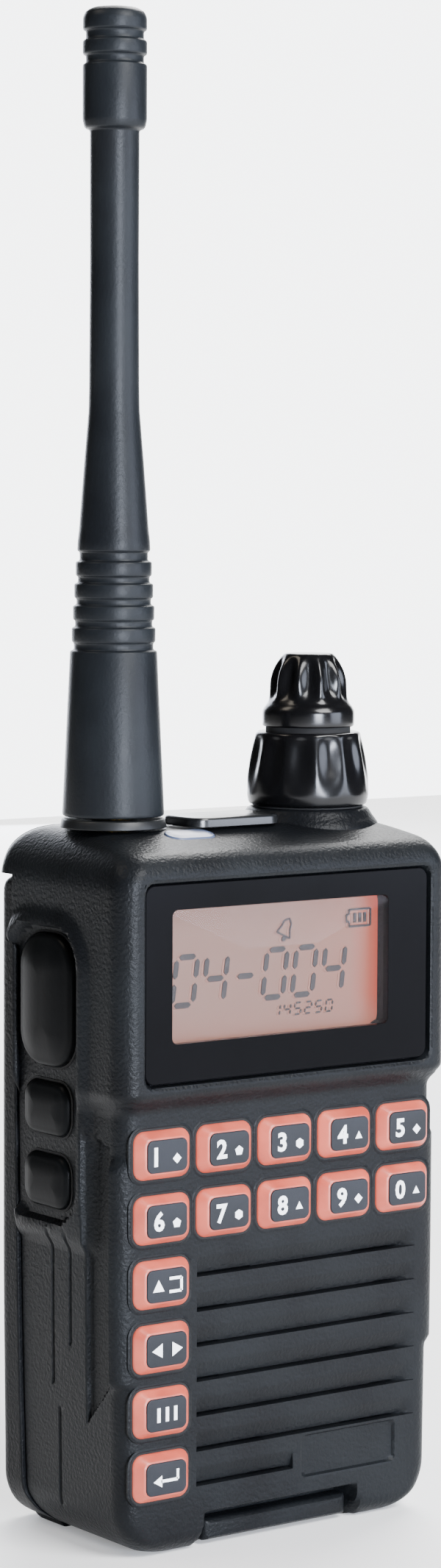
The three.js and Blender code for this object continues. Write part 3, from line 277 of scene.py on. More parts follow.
def rounded_box(a, b, low, high, r):
    """Signed distance to a rectangle with corners rounded by r: negative inside, in millimetres."""
    middle, half = (np.add(low, high)) / 2, np.subtract(high, low) / 2
    da = np.abs(a - middle[0]) - half[0] + r
    db = np.abs(b - middle[1]) - half[1] + r
    return np.hypot(np.maximum(da, 0), np.maximum(db, 0)) + np.minimum(np.maximum(da, db), 0) - r


def lines(start, stop, step, *extra):
    """Evenly spaced values with extra ones put among them, sorted, none closer than 0.02 mm."""
    values = np.sort(np.concatenate([np.arange(start, stop + step / 2, step), *map(np.ravel, extra)]))
    return values[np.concatenate([[True], np.diff(values) > 0.02])]


# %% Level sections to a skin
def section_skin(z, half, front, corner, rear, rear_corner, hollow, x_lines, y_lines, relief):
    """A body stacked from level sections, as a stack of rings.

    Every argument from z to hollow is a list with one value for each row. Going round from the back left,
    a ring is: the left side along y_lines, a quarter circle of radius corner, the front along x_lines, a
    quarter circle, the right side, a quarter circle of radius rear_corner, the back, which steps forward
    by hollow to make the open inside, and the last quarter circle. Lines outside a row are held to its
    ends. relief(x, y, z, nx, ny) then moves each point outwards along its level normal (nx, ny).
    """
    column = lambda v: np.asarray(v, float)[:, None]
    z, half, front, corner, rear, rear_corner, hollow = map(
        column, (z, half, front, corner, rear, rear_corner, hollow)
    )
    quarter = np.linspace(0, np.pi / 2, 9)[None, :]
    side_y = np.clip(y_lines[None, :], front + corner, rear - rear_corner)
    front_x = np.clip(x_lines[None, :], -(half - corner), half - corner)
    cos, sin = np.cos(quarter), np.sin(quarter)
    flank, rear_flank = half - corner, half - rear_corner
    front_turn, rear_turn = front + corner, rear - rear_corner
    inner = half - WALL
    lip = np.hstack([inner, inner, -inner, -inner])
    floor = np.hstack([rear, rear - hollow, rear - hollow, rear])
    parts = [
        (-half + 0 * side_y, side_y[:, ::-1], -1.0, 0.0),
        (-flank - corner * cos, front_turn - corner * sin, -cos, -sin),
        (front_x, front + 0 * front_x, 0.0, -1.0),
        (flank + corner * sin, front_turn - corner * cos, sin, -cos),
        (half + 0 * side_y, side_y, 1.0, 0.0),
        (rear_flank + rear_corner * cos, rear_turn + rear_corner * sin, cos, sin),
        (lip, floor, 0.0, 0.0),
        (-rear_flank - rear_corner * sin, rear_turn + rear_corner * cos, -sin, cos),
    ]
    x, y = np.hstack([p[0] for p in parts]), np.hstack([p[1] for p in parts])
    nx, ny = np.hstack([p[2] + 0 * p[0] for p in parts]), np.hstack([p[3] + 0 * p[0] for p in parts])
    out = relief(x, y, z + 0 * x, nx, ny)
    return np.stack([x + nx * out, y + ny * out, z + 0 * x], -1)


# Rows of height and depth along the seam.
SEAM = [(0, 4.7), (0.6, 5.8), (2.5, 8.4), (5, 9.6), (19, 10.1), (46, 10.6), (65, 11.0), (93, 11.2)]


def seam(z):
    """Where the case ends and the battery begins: it leans back as it rises, and curves in at the foot."""
    return np.interp(z, *np.transpose(SEAM))


# %% [markdown]
# The detail of the front: louvres that are flush along the top and deepest along the foot, where a dark slot
# lets the sound out, a shallow badge recess, a bed for the display window and a scoop for a fingertip at the
# foot. On the sides: a pocket round the buttons with a raised rim, a grip panel behind a rib, and fine
# upright grooves.

# %% Relief of the case
# Millimetres. A pair is a lower and an upper limit, or one corner of a box across and up.
LOUVRES = 38.3 - 4.87 * np.arange(6)  # the foot of each
SHORT_LOUVRE, SHORT_END_X = 9.1, 1.9
GRILLE_X = (-14.8, 23.6)
LOUVRE_H, LOUVRE_DEEP, LOUVRE_FADE, SHORT_FADE = 2.5, 0.75, 2.2, 0.1
SLOT_H, SLOT_DEEP = 0.28, 2.2
BADGE_LOW, BADGE_HIGH, BADGE_R, BADGE_DEEP = (3.45, 7.4), (20.35, 13.5), 1.2, 0.45
BED_R, BED_GAP, BED_EDGE, BED_DEEP = 1.5, 0.35, 0.28, 2.0
WINDOW_LOW, WINDOW_HIGH, PIT_R, PIT_DEEP = (-20.0, 70.8), (17.5, 89.1), 1.0, 2.7
PIT_FALL = (0.25, 0.4)
SCOOP_A, SCOOP_TAPER, SCOOP_H, SCOOP_DEEP = 14.7, 1.7, 5.3, 1.9
SCOOP_SIDE, SCOOP_ROOF = 1.1, 1.3  # how wide its sloping edges are
LATCH_PIT_A, LATCH_PIT_DEEP, LIP_A = 13.0, 2.3, 12.6
HEAD_STEP_Z = (60.6, 64.2)
CHEEK_OUT, CHEEK_Z, CHEEK_Y = 0.9, (41.0, 43.2), (-7.4, -5.2)
RIB_OUT, RIB_Y, RIB_Z, RIB_FADE = 1.05, (-11.9, -11.2), (24.8, 54.0), 1.6
PANEL_IN, PANEL_Y, PANEL_EDGE, PANEL_MID_Y = 0.75, (-10.8, -5.7), 0.4, -9
PANEL_FOOT_Z, PANEL_FOOT_LEAN, PANEL_TOP_Z, PANEL_TOP_LEAN = 22.0, -1.1, 57.0, 0.34
GROOVE_IN, GROOVE_SOFT, GROOVE_FADE, GROOVE_TOP_Z = 0.4, 0.25, 0.8, 43.0
GROOVES = ((2.6, 2.9, 22.5), (-1.65, -1.35, 28.5))  # two edges and a foot for each
CREASE_IN, CREASE_Y, CREASE_Z = 0.35, (1.1, 1.4), (5.5, 18.4)
POCKET_LOW, POCKET_HIGH, POCKET_R, POCKET_DEEP = (-5.8, 44.6), (11.9, 86.0), 5.8, 1.1
POCKET_NARROWS, POCKET_NARROWS_Z = 1.3, (60, 65)
RIM_OUT, RIM_OUT_MORE, RIM_FALL = 0.3, 0.5, (0.4, 2.6)


def louvre_depth(x, z, foot, start, end, fade):
    """A slope from flush at the louvre's top to its foot, and a narrow slot cut at the foot that ends
    before the slope does."""
    across = ease(x, start - 0.05, start + 0.05) * (1 - ease(x, end - fade, end))
    up = (z - foot) / LOUVRE_H
    slope = LOUVRE_DEEP * np.clip(1 - up, 0, 1) * ease(z, foot - 0.1, foot)
    slot = (SLOT_DEEP - LOUVRE_DEEP) * band(z, foot, foot + SLOT_H, 0.05)
    return across * (slope + slot * (1 - ease(x, end - 2 * fade, end - fade)))


def front_depth(x, z):
    """How deep the front is pressed in at (x, z), in millimetres."""
    depth = np.zeros_like(x)
    for foot in LOUVRES:
        depth += louvre_depth(x, z, foot, *GRILLE_X, LOUVRE_FADE)
    depth += louvre_depth(x, z, SHORT_LOUVRE, GRILLE_X[0], SHORT_END_X, SHORT_FADE)
    depth += BADGE_DEEP * ease(-rounded_box(x, z, BADGE_LOW, BADGE_HIGH, BADGE_R), -0.02, 0.3)
    bed = rounded_box(x, z, lens_low[[0, 2]], lens_high[[0, 2]], BED_R)
    depth += BED_EDGE * (1 - ease(bed, BED_GAP, BED_GAP + 0.5))
    depth += (BED_DEEP - BED_EDGE) * (1 - ease(bed, BED_GAP - 0.1, BED_GAP))
    pit = rounded_box(x, z, WINDOW_LOW, WINDOW_HIGH, PIT_R)
    depth += PIT_DEEP * (1 - ease(pit, *PIT_FALL))
    edge = SCOOP_A - SCOOP_TAPER * z / SCOOP_H
    below = 1 - ease(z, SCOOP_H - SCOOP_ROOF, SCOOP_H)
    depth += SCOOP_DEEP * below * (1 - ease(np.abs(x), edge - SCOOP_SIDE, edge))
    depth += LATCH_PIT_DEEP * below * (1 - ease(np.abs(x), LATCH_PIT_A, LATCH_PIT_A + 0.3))
    return depth


def side_swell(x, y, z):
    """How far the side stands out at (y, z), in millimetres. The pocket is on the left only."""
    upper = ease(z, *HEAD_STEP_Z)
    cheek = CHEEK_OUT * (1 - upper) * ease(z, *CHEEK_Z) * ease(y, *CHEEK_Y)
    rib = RIB_OUT * (1 - ease(y, *RIB_Y)) * band(z, *RIB_Z, RIB_FADE)
    panel_foot = PANEL_FOOT_Z + PANEL_FOOT_LEAN * (y - PANEL_MID_Y)
    panel_top = PANEL_TOP_Z + PANEL_TOP_LEAN * (y - PANEL_MID_Y)
    panel = -PANEL_IN * band(y, *PANEL_Y, PANEL_EDGE)
    panel *= ease(z, panel_foot - PANEL_EDGE, panel_foot + PANEL_EDGE)
    panel *= 1 - ease(z, panel_top - PANEL_EDGE, panel_top + PANEL_EDGE)
    swell = cheek + rib + panel
    for low, high, foot in GROOVES:
        swell -= GROOVE_IN * band(y, low, high, GROOVE_SOFT) * band(z, foot, GROOVE_TOP_Z, GROOVE_FADE)
    swell -= CREASE_IN * band(y, *CREASE_Y, GROOVE_SOFT) * band(z, *CREASE_Z, GROOVE_FADE)
    shift = POCKET_NARROWS * (1 - ease(z, *POCKET_NARROWS_Z))
    pocket = rounded_box(y - shift, z, POCKET_LOW, POCKET_HIGH, POCKET_R)
    floor = HEAD_HALF - POCKET_DEEP - (TRUNK_HALF + (HEAD_HALF - TRUNK_HALF) * upper)
    inside = 1 - ease(pocket, -0.5, 0.1)
    rim = (RIM_OUT + RIM_OUT_MORE * upper) * (1 - ease(pocket, *RIM_FALL))
    return np.where(x < 0, (swell + rim) * (1 - inside) + floor * inside, swell)


def case_relief(x, y, z, nx, ny):
    """Outward push of the case: the side's swell by how far the skin faces sideways, less the front's
    depth by how far it faces forwards."""
    return side_swell(x, y, z) * nx**2 - front_depth(x, z) * (ny < -0.02) * ny**2


# %% The case's rows, columns and skin
arc = np.linspace(0, np.pi / 2, 13)
louvre_rows = np.concatenate([
    foot + np.array([-0.12, -0.05, 0.0, SLOT_H, SLOT_H + 0.06, 0.9, 1.5, 2.1, 2.45, 2.6])
    for foot in [*LOUVRES, SHORT_LOUVRE]
])
bed_rows = np.concatenate([
    edge + sign * np.array([-0.6, 0.2, BED_GAP - 0.1, BED_GAP, 0.6, 0.9])
    for edge, sign in ((lens_low[2], -1), (lens_high[2], 1))
])
pit_steps = np.array([0.15, *PIT_FALL])
pit_rows = np.concatenate([WINDOW_LOW[1] - pit_steps, WINDOW_HIGH[1] + pit_steps])
badge_rows = np.array([7.35, 7.45, 7.7, 8.2, 8.6, 12.3, 12.8, 13.2, 13.45, 13.55])
upright = lines(
    0.0, 92.2, 0.62, louvre_rows, bed_rows, pit_rows, badge_rows,
    FOOT_R * (1 - np.cos(arc)), EDGE_R * (1 - np.cos(arc)),
    [SCOOP_H - SCOOP_ROOF, SCOOP_H - 0.9, SCOOP_H - 0.3, SCOOP_H, 3.8], np.linspace(60.8, 64.6, 14),
)
TOP_ARC_Z, TOP_ARC_R, SLOPE = 92.9, 4.0, math.radians(13)
HOOD_R = 3.5
arc_up = np.linspace(0, np.pi / 2 - SLOPE, 12)
arc_z = TOP_ARC_Z + TOP_ARC_R * np.sin(arc_up)
slope_z = np.linspace(arc_z[-1], TOP_Z, 10)[1:]
row_z = np.concatenate([upright, [HOOD_Z, HOOD_Z, 92.6], arc_z, slope_z])


def front_of(z):
    """The side profile of the front: a rounded foot, an S-shaped step forward under the display housing, and
    over it a quarter turn of TOP_ARC_R that runs into the sloping top."""
    foot = KEY_FACE_Y + EDGE_R - np.sqrt(EDGE_R**2 - np.clip(EDGE_R - z, 0, EDGE_R) ** 2)
    step = (KEY_FACE_Y - HEAD_Y) * ease(z, 61.4, 64.4)
    up = np.clip((z - TOP_ARC_Z) / TOP_ARC_R, 0, math.cos(SLOPE))
    top = TOP_ARC_R * (1 - np.sqrt(1 - up**2))
    beyond = np.clip(z - arc_z[-1], 0, None) / math.tan(SLOPE)
    return foot - step + top + beyond


def half_of(z):
    """The front outline's half width: wide at the display housing, tapered to the foot, round-cornered."""
    trunk = TRUNK_HALF - TAPER * (1 - ease(z, *TAPER_Z))
    width = trunk + (HEAD_HALF - TRUNK_HALF) * ease(z, 60.8, 64.4)
    foot = FOOT_R - np.sqrt(FOOT_R**2 - np.clip(FOOT_R - z, 0, FOOT_R) ** 2)
    over = np.clip(z - (TOP_Z - SHOULDER_R), 0, SHOULDER_R * 0.999)
    shoulder = SHOULDER_R - np.sqrt(SHOULDER_R**2 - over**2)
    return width - foot - np.minimum(shoulder, SHOULDER_R - 0.9)


hooded = np.arange(len(row_z)) > np.searchsorted(row_z, HOOD_Z, "left")
hood_round = HOOD_R - np.sqrt(HOOD_R**2 - np.clip(row_z - (TOP_Z - HOOD_R), 0, HOOD_R - 0.01) ** 2)
row_rear = np.where(hooded, BACK_Y - hood_round, seam(row_z))
row_front = front_of(row_z)
row_corner = np.minimum(np.where(row_z < HEAD_Z, EDGE_R, HEAD_R), 0.45 * (row_rear - row_front))
FLOOR_Z, OPEN_Z = 4.0, 90.6
inside_rows = (row_z > FLOOR_Z) & (row_z < OPEN_Z)
row_hollow = np.where(inside_rows, row_rear - 0.3, 0.0)
X_LINES = lines(
    -25.5, 25.5, 1.3,
    [-20.4, -20.25, -20.1, -14.86, -14.76, 1.78, 1.92, 3.4, 3.5, 3.8, 4.3, 17.6, 17.75, 17.9],
    [19.5, 20.0, 20.3, 20.4, 20.85, 20.95, 22.1, 23.65],
    [s * v for s in (-1, 1) for v in (12.0, 12.5, 13.0, 13.5, 14.1, 14.7, 15.0)],
    [s * v for s in (-1, 1) for v in (23.9, 24.3, 24.6, 24.75, 24.85, 25.05, 25.35)],
)
Y_LINES = lines(
    -13.5, 12.9, 0.8, np.linspace(-12.2, -4.0, 42),
    [2.35, 2.6, 2.9, 3.15, -1.9, -1.65, -1.35, -1.1, 0.85, 1.1, 1.4, 1.65],
)
case_rings = section_skin(
    row_z, half_of(row_z), row_front, row_corner, row_rear, np.where(hooded, 3.0, 0.05), row_hollow,
    X_LINES, Y_LINES, case_relief,
)
case = skin("case_shell", *capped(case_rings), "radio", "case_black", CASE, 32, ["front_case"])
print("case:", case_rings.shape, len(case.data.polygons), "faces")

# %% [markdown]
# ## Pads
# Keys, buttons, covers and lenses are all pads: a stack of rounded rectangles, each with its own size and
# height. Stacking them slowly near an edge rounds that edge. A pad can face the front, the left or upwards.

# %% Rounded outlines and pads
FACING = {
    "front": np.array([[1, 0, 0], [0, 0, 1], [0, -1, 0]], float),
    "left": np.array([[0, 1, 0], [0, 0, 1], [-1, 0, 0]], float),
    "top": np.array([[1, 0, 0], [0, 1, 0], [0, 0, 1]], float),
}


def outline(half_a, half_b, r, steps=8):
    """Points round a rectangle: each corner's centre plus r times the cosine and sine of the angle."""
    angle = (np.arange(4)[:, None] * np.pi / 2 + np.linspace(0, np.pi / 2, steps)).ravel()
    sign_a, sign_b = np.repeat([1, -1, -1, 1], steps), np.repeat([1, 1, -1, -1], steps)
    return sign_a * (half_a - r) + r * np.cos(angle), sign_b * (half_b - r) + r * np.sin(angle)


def stacked(centre, rows, facing):
    """Rings of points: outline(half_a, half_b, r) at each height of rows, turned to the way it faces."""
    rows = np.asarray(rows, float)[:, :, None]
    a, b = outline(rows[:, 0], rows[:, 1], rows[:, 2])
    local = np.stack([a, b, rows[:, 3] + 0 * a], -1)
    return np.asarray(centre, float) + local @ FACING[facing]


def eased_rows(half_a, half_b, r, low, high, edge, crown=0.0):
    """Rows of a pad from low to high whose upper edge is a quarter circle of radius edge. With a crown the
    top goes on rising by it, as 1 - (1 - t)^2, towards the middle."""
    turn = np.linspace(0, np.pi / 2, 7)
    inset, height = edge * (1 - np.cos(turn)), high - edge + edge * np.sin(turn)
    if crown:
        t = np.linspace(0, 1, 8)[1:]
        inset = np.append(inset, edge + t * (min(half_a, half_b) - edge) * 0.9)
        height = np.append(height, high + crown * (1 - (1 - t) ** 2))
    inset, height = np.append(0, inset), np.append(low, height)
    return np.stack([half_a - inset, half_b - inset, np.maximum(r - inset, 0.06), height], -1)


def pad(name, centre, rows, facing, body, slot, material, stands_for=(), sharp=40):
    """A piece from one capped stack of rounded rectangles."""
    return skin(name, *capped(stacked(centre, rows, facing)), body, slot, material, sharp, stands_for)


# %% [markdown]
# ## Keys
# Each key is a cap of translucent silicone whose skirt leans in towards a printed slate panel. A lamp behind
# the keypad makes the skirt glow, so the silicone gives off a little light of its own. The case has a narrow
# slit round every key with a fine lip that catches the light; the slit's shade is painted, as a thin black
# ring set in it. The legends are plain digits and shapes.

# %% Key caps, panels and slits
KEY_BODY = {name: name + "_cap" for name in key_boxes}
KEY_PLAY, KEY_R, SLIT = 0.25, 1.6, 0.32
# Rows of inset across, inset up, corner radius and height, from the foot of a cap to its top.
CAP = [
    (0, 0, KEY_R, -1.6), (0, 0, KEY_R, 0.1), (0.06, 0.06, 1.55, 0.24), (0.22, 0.18, 1.5, 0.42),
    (0.95, 0.78, 1.2, 1.2), (1.12, 0.93, 1.1, 1.36), (1.3, 1.07, 1.0, 1.42),
]
# Rows of growth, corner radius and height, round the slit and round its lip.
KEY_SLIT = [(0, KEY_R, 0.02), (SLIT, KEY_R + SLIT, 0.02), (SLIT, KEY_R + SLIT, -0.3), (0, KEY_R, -0.3)]
KEY_LIP = [
    (SLIT - 0.02, 1.58 + SLIT, -0.3), (SLIT, KEY_R + SLIT, 0.05), (SLIT + 0.12, 1.72 + SLIT, 0.09),
    (SLIT + 0.42, 2.0 + SLIT, -0.02), (SLIT + 0.42, 2.0 + SLIT, -0.3),
]


def grown(half_a, half_b, rows):
    """Rows of a pad whose half sizes are half_a and half_b plus the growth of each row."""
    return [(half_a + growth, half_b + growth, r, height) for growth, r, height in rows]


slit_rings, lip_rings = [], []
for key, body in KEY_BODY.items():
    low, high = key_boxes[key]
    middle = (low + high) / 2
    centre = (middle[0], KEY_FACE_Y, middle[2])
    half_a, half_b = (high[0] - low[0]) / 2 - KEY_PLAY, (high[2] - low[2]) / 2 - KEY_PLAY
    cap_rows = [(half_a - a, half_b - b, r, height) for a, b, r, height in CAP]
    pad(key + "_silicone", centre, cap_rows, "front", body, "key_salmon", SILICONE, [key])
    panel = eased_rows(half_a - 1.32, half_b - 1.08, 0.95, 1.3, 1.65, 0.16)
    pad(key + "_panel", centre, panel, "front", body, "key_salmon", SLATE)
    slit_rings.append(stacked(centre, grown(half_a, half_b, KEY_SLIT), "front"))
    lip_rings.append(stacked(centre, grown(half_a, half_b, KEY_LIP), "front"))


def many_rings(name, stacks, body, slot, material):
    """Several stacks of rings, each closed both round and over, in one mesh."""
    rows, cols = stacks[0].shape[:2]
    one = np.array(quads(rows, cols, wrap_rows=True))
    faces = np.concatenate([one + k * rows * cols for k in range(len(stacks))])
    points = np.concatenate([stack.reshape(-1, 3) for stack in stacks])
    return skin(name, points, faces.tolist(), body, slot, material)


# A black ring in each slit is painted shade of the gap round the key.
many_rings("key_slits", slit_rings, "radio", "case_black", SHADOW)
many_rings("key_lips", lip_rings, "radio", "case_black", CASE)
print(len(KEY_BODY), "keys")

# %% [markdown]
# Legends and display segments are thin prisms: flat outlines given a small thickness. Straight strokes are
# made the same way, as one slim four-sided outline for each stretch of a line.

# %% Prisms, strokes and figures
def prisms(name, shapes, y_front, y_back, body, slot, material):
    """Thin prisms from a list of outlines of (x, z) points, in millimetres."""
    points, faces = [], []
    for corner_points in shapes:
        flat = np.asarray(corner_points, float)
        n, first = len(flat), sum(map(len, points))
        for y in (y_front, y_back):
            points.append(np.stack([flat[:, 0], np.full(n, y), flat[:, 1]], -1))
        j = np.arange(n)
        k = (j + 1) % n
        faces += [(first + j).tolist(), (first + n + j[::-1]).tolist()]
        faces += (first + np.stack([j + n, k + n, k, j], -1)).tolist()
    made = skin(name, np.concatenate(points), faces, body, slot, material, 30)
    shape = bmesh.new()
    shape.from_mesh(made.data)
    bmesh.ops.recalc_face_normals(shape, faces=shape.faces)
    shape.to_mesh(made.data)
    shape.free()
    return made


def strokes(line, width):
    """A slim rectangle for each stretch of a line of points: the stretch moved half a width to each side."""
    line = np.asarray(line, float)
    along = np.diff(line, axis=0)
    side = np.stack([-along[:, 1], along[:, 0]], -1) * (width / 2 / np.hypot(*along.T))[:, None]
    start, end = line[:-1], line[1:]
    return list(np.stack([start - side, end - side, end + side, start + side], 1))


def polygon(x, z, r, sides, turn=0.0):
    """A regular polygon of radius r about (x, z)."""
    angle = np.linspace(0, 2 * np.pi, sides, endpoint=False) + math.radians(turn)
    return np.stack([x + r * np.cos(angle), z + r * np.sin(angle)], -1)


# Each bar's place across and up the figure, and 1 if it stands upright.
BARS = {
    "a": (0.5, 1, 0), "b": (1, 0.75, 1), "c": (1, 0.25, 1), "d": (0.5, 0, 0),
    "e": (0, 0.25, 1), "f": (0, 0.75, 1), "g": (0.5, 0.5, 0),
}
LIT = {"0": "abcdef", "1": "bc", "2": "abged", "4": "fgbc", "5": "afgcd", "6": "afgedc", "-": "g"}


def figures(text, x, z, width, height, pitch, thick, lean=0.13):
    """Seven-segment figures as six-sided bars with pointed ends, leaning by lean."""
    shapes = []
    for place, sign in enumerate(text):
        for bar in LIT.get(sign, ""):
            u, v, upright_bar = BARS[bar]
            reach = (height / 2 if upright_bar else width) / 2 - 0.16 * thick - 0.06 * width
            tip = min(thick / 2, reach)
            long = np.array([-reach, -reach + tip, reach - tip, reach, reach - tip, -reach + tip])
            short = np.array([0, 1, 1, 0, -1, -1]) * thick / 2
            px, pz = (short, long) if upright_bar else (long, short)
            pz = pz + v * height
            shapes.append(np.stack([x + place * pitch + u * width + px + lean * pz, z + pz], -1))
    return shapes


# %% Key legends
def text_outline(sign, size):
    """A digit of Blender's own plain font as points and faces, standing at the origin."""
    curve = bpy.data.curves.new("sign", "FONT")
    curve.body, curve.size, curve.extrude, curve.offset = sign, size, 0.02, 0.035 * size
    curve.resolution_u = 3
    holder = bpy.data.objects.new("sign", curve)
    bpy.context.collection.objects.link(holder)
    mesh = bpy.data.meshes.new_from_object(holder.evaluated_get(bpy.context.evaluated_depsgraph_get()))
    points = np.empty(len(mesh.vertices) * 3)
    mesh.vertices.foreach_get("co", points)
    faces = [list(p.vertices) for p in mesh.polygons]
    bpy.data.objects.remove(holder)
    return points.reshape(-1, 3), faces


INK_Y, LINE_W = KEY_FACE_Y - 1.65, 0.42
for key, body in KEY_BODY.items():
    low, high = key_boxes[key]
    x, z = (low[0] + high[0]) / 2, (low[2] + high[2]) / 2
    label = key.split("_")[1]
    if label.isdigit():
        flat, faces = text_outline(label, 3.5)
        flat[:, 0] += x - 2.3 - flat[:, 0].min()
        points = np.stack([flat[:, 0], INK_Y - 0.03 - flat[:, 2], z - 1.2 + flat[:, 1]], -1)
        skin(key + "_digit", points, faces, body, "key_salmon", PRINT)
        mark = [polygon(x + 1.5, z - 0.45, 0.72, 3 + int(label) % 4, 90)]
    elif label == "function":
        hook = [(x + 0.3, z + 0.9), (x + 2.3, z + 0.9), (x + 2.3, z - 0.9), (x + 0.3, z - 0.9)]
        mark = [polygon(x - 1.5, z - 0.2, 1.1, 3, 90), *strokes(hook, LINE_W)]
    elif label == "mode":
        mark = [polygon(x - 1.4, z, 1.15, 3, 180), polygon(x + 1.4, z, 1.15, 3, 0)]
    elif label == "memory":
        mark = sum((strokes([(x + d, z - 1.0), (x + d, z + 1.0)], 0.55) for d in (-1.4, 0, 1.4)), [])
    else:
        arrow = [(x - 1.0, z - 0.3), (x + 1.8, z - 0.3), (x + 1.8, z + 1.1)]
        mark = [polygon(x - 1.3, z - 0.3, 0.95, 3, 180), *strokes(arrow, LINE_W)]
    prisms(key + "_mark", mark, INK_Y - 0.05, INK_Y + 0.03, body, "key_salmon", PRINT)

# %% [markdown]
# ## Display
# The window is one acrylic lens with a black mask printed round a clear opening. The glass of the display
# lies almost three millimetres behind it, so the opening's right wall shows as a dark strip. It is lit by
# salmon lamps, and the one on the right leaks past the edge and burns brighter there.

# %% Lens mask, clear opening, lit glass and segments
lens_middle, lens_half = (lens_low + lens_high) / 2, (lens_high - lens_low) / 2
lens_x, lens_y, lens_z = lens_middle[0], lens_low[1], lens_middle[2]
lens_a, lens_b = lens_half[[0, 2]]
open_x, open_z = np.add(WINDOW_LOW, WINDOW_HIGH) / 2
open_a, open_b = np.subtract(WINDOW_HIGH, WINDOW_LOW) / 2
LENS_R, OPEN_R, LENS_THICK, CHAMFER = 1.5, 0.9, 1.15, 0.12
outer_rows = [
    (lens_a, lens_b, LENS_R, -LENS_THICK), (lens_a, lens_b, LENS_R, -CHAMFER),
    (lens_a - CHAMFER, lens_b - CHAMFER, 1.4, 0.0),
]
inner_rows = [(open_a, open_b, OPEN_R, 0.0), (open_a, open_b, OPEN_R, -LENS_THICK)]
mask_rings = np.concatenate([
    stacked((lens_x, lens_y, lens_z), outer_rows, "front"),
    stacked((open_x, lens_y, open_z), inner_rows, "front"),
])
mask_faces = quads(*mask_rings.shape[:2], wrap_rows=True)
skin("lens_mask", mask_rings.reshape(-1, 3), mask_faces, "radio", "lens_acrylic", MASK, 35, ["display_lens"])

CLEAR = moulded("Clear acrylic", "#101012", "#141416", 0.05, patch_mm=60, Alpha=0.1)
pane_rows = eased_rows(open_a - 0.02, open_b - 0.02, OPEN_R, 0.0, 0.45, 0.05)
pad("lens_opening", (open_x, lens_y + 0.5, open_z), pane_rows, "front", "radio", "lens_acrylic", CLEAR)

GLASS_Y = corners("lcd_glass")[0][1]
lit = bpy.data.materials.new("Salmon backlit display")
lit.use_nodes = True
tree = lit.node_tree
tree.nodes.clear()
place = add(tree, "ShaderNodeTexCoord", {}).outputs["Object"]
split = add(tree, "ShaderNodeSeparateXYZ", {"Vector": place})
across = add(tree, "ShaderNodeMapRange", {
    "Value": split.outputs["X"], "From Min": -20 * MM, "From Max": 18 * MM,
})
up_down = add(tree, "ShaderNodeMapRange", {
    "Value": split.outputs["Z"], "From Min": 70 * MM, "From Max": 75 * MM, "To Min": 0.75, "To Max": 0.0,
})
wash = ramp(tree, across.outputs["Result"], [
    (0.0, "#bb8874"), (0.55, "#c0866f"), (0.86, "#d28060"), (0.95, "#f0663c"), (1.0, "#ff4a20"),
])
low_glow = add(tree, "ShaderNodeMix", {
    "Factor": up_down.outputs["Result"], "A": wash, "B": colour("#d08a70"),
}, data_type="RGBA")
surface = add(tree, "ShaderNodeBsdfPrincipled", {
    "Base Color": colour("#46342f"), "Roughness": 0.4,
    "Emission Color": low_glow.outputs["Result"], "Emission Strength": 0.78,
})
add(tree, "ShaderNodeOutputMaterial", {"Surface": surface.outputs["BSDF"]})
LIT_LEFT, LIT_RIGHT = -20.3, 17.8
plate_rows = [((LIT_RIGHT - LIT_LEFT) / 2, open_b + 0.3, 0.3, h) for h in (-0.9, 0.0)]
plate_place = ((LIT_LEFT + LIT_RIGHT) / 2, GLASS_Y, open_z)
pad("lit_glass", plate_place, plate_rows, "front", "radio", "lcd_cell", lit, ["lcd_glass"])

DARK = moulded("Display segments", "#1d1719", "#241d1f", 0.5)
PAINTED_SEGMENT_SHADOW = moulded("Segment shadow", "#7c5549", "#82594c", 0.5)
BELL = [
    (-1.3, -0.9), (1.5, -0.9), (0.9, 0.3), (0.85, 1.2), (0.1, 1.9), (-0.7, 1.2), (-0.8, 0.3), (-1.3, -0.9),
]
BELL_TILT, BELL_SIZE, BELL_X, BELL_Z = math.radians(25), 0.9, 1.2, 84.9
THIN, MARK_W = 0.26, 0.3
bell = [
    (BELL_X + BELL_SIZE * (a * math.cos(BELL_TILT) + b * math.sin(BELL_TILT)),
     BELL_Z + BELL_SIZE * (b * math.cos(BELL_TILT) - a * math.sin(BELL_TILT)))
    for a, b in BELL
]
charge = [
    (12.6, 84.6), (16.4, 84.6), (16.4, 87.0), (12.6, 87.0), (12.6, 86.3),
    (12.1, 86.3), (12.1, 85.3), (12.6, 85.3), (12.6, 84.6),
]
segments = figures("04-004", -18.1, 75.6, 3.5, 6.6, 5.15, 0.8)
segments += figures("145250", -0.8, 72.9, 1.1, 1.6, 1.85, THIN)
segments += strokes(bell, THIN) + [polygon(1.0, 83.6, 0.4, 8)] + strokes(charge, MARK_W)
segments += sum((strokes([(v, 85.1), (v, 86.5)], 0.5) for v in (13.6, 14.5, 15.4)), [])
# Each segment's shadow on the lit glass is painted: its outline again in a darker salmon, shifted 0.38 mm left
# and 0.1 mm down.
shadows = [np.asarray(segment) + np.array([-0.38, -0.1]) for segment in segments]
prisms("segments", segments, GLASS_Y - 0.14, GLASS_Y - 0.06, "radio", "lcd_cell", DARK)
prisms("segment_shadows", shadows, GLASS_Y - 0.04, GLASS_Y - 0.01, "radio", "lcd_cell", PAINTED_SEGMENT_SHADOW)
print(len(segments), "display marks")

# %% [markdown]
# ## Antenna and knobs
# These are turned shapes: a profile of radius against height carried round an axis. The flexible whip is
# rubber moulded over a spring, with a tapered sleeve, four strain-relief ribs and a capped tip. The two
# stacked knobs have scooped finger flutes, which are a cosine taken off the radius where the profile says so.

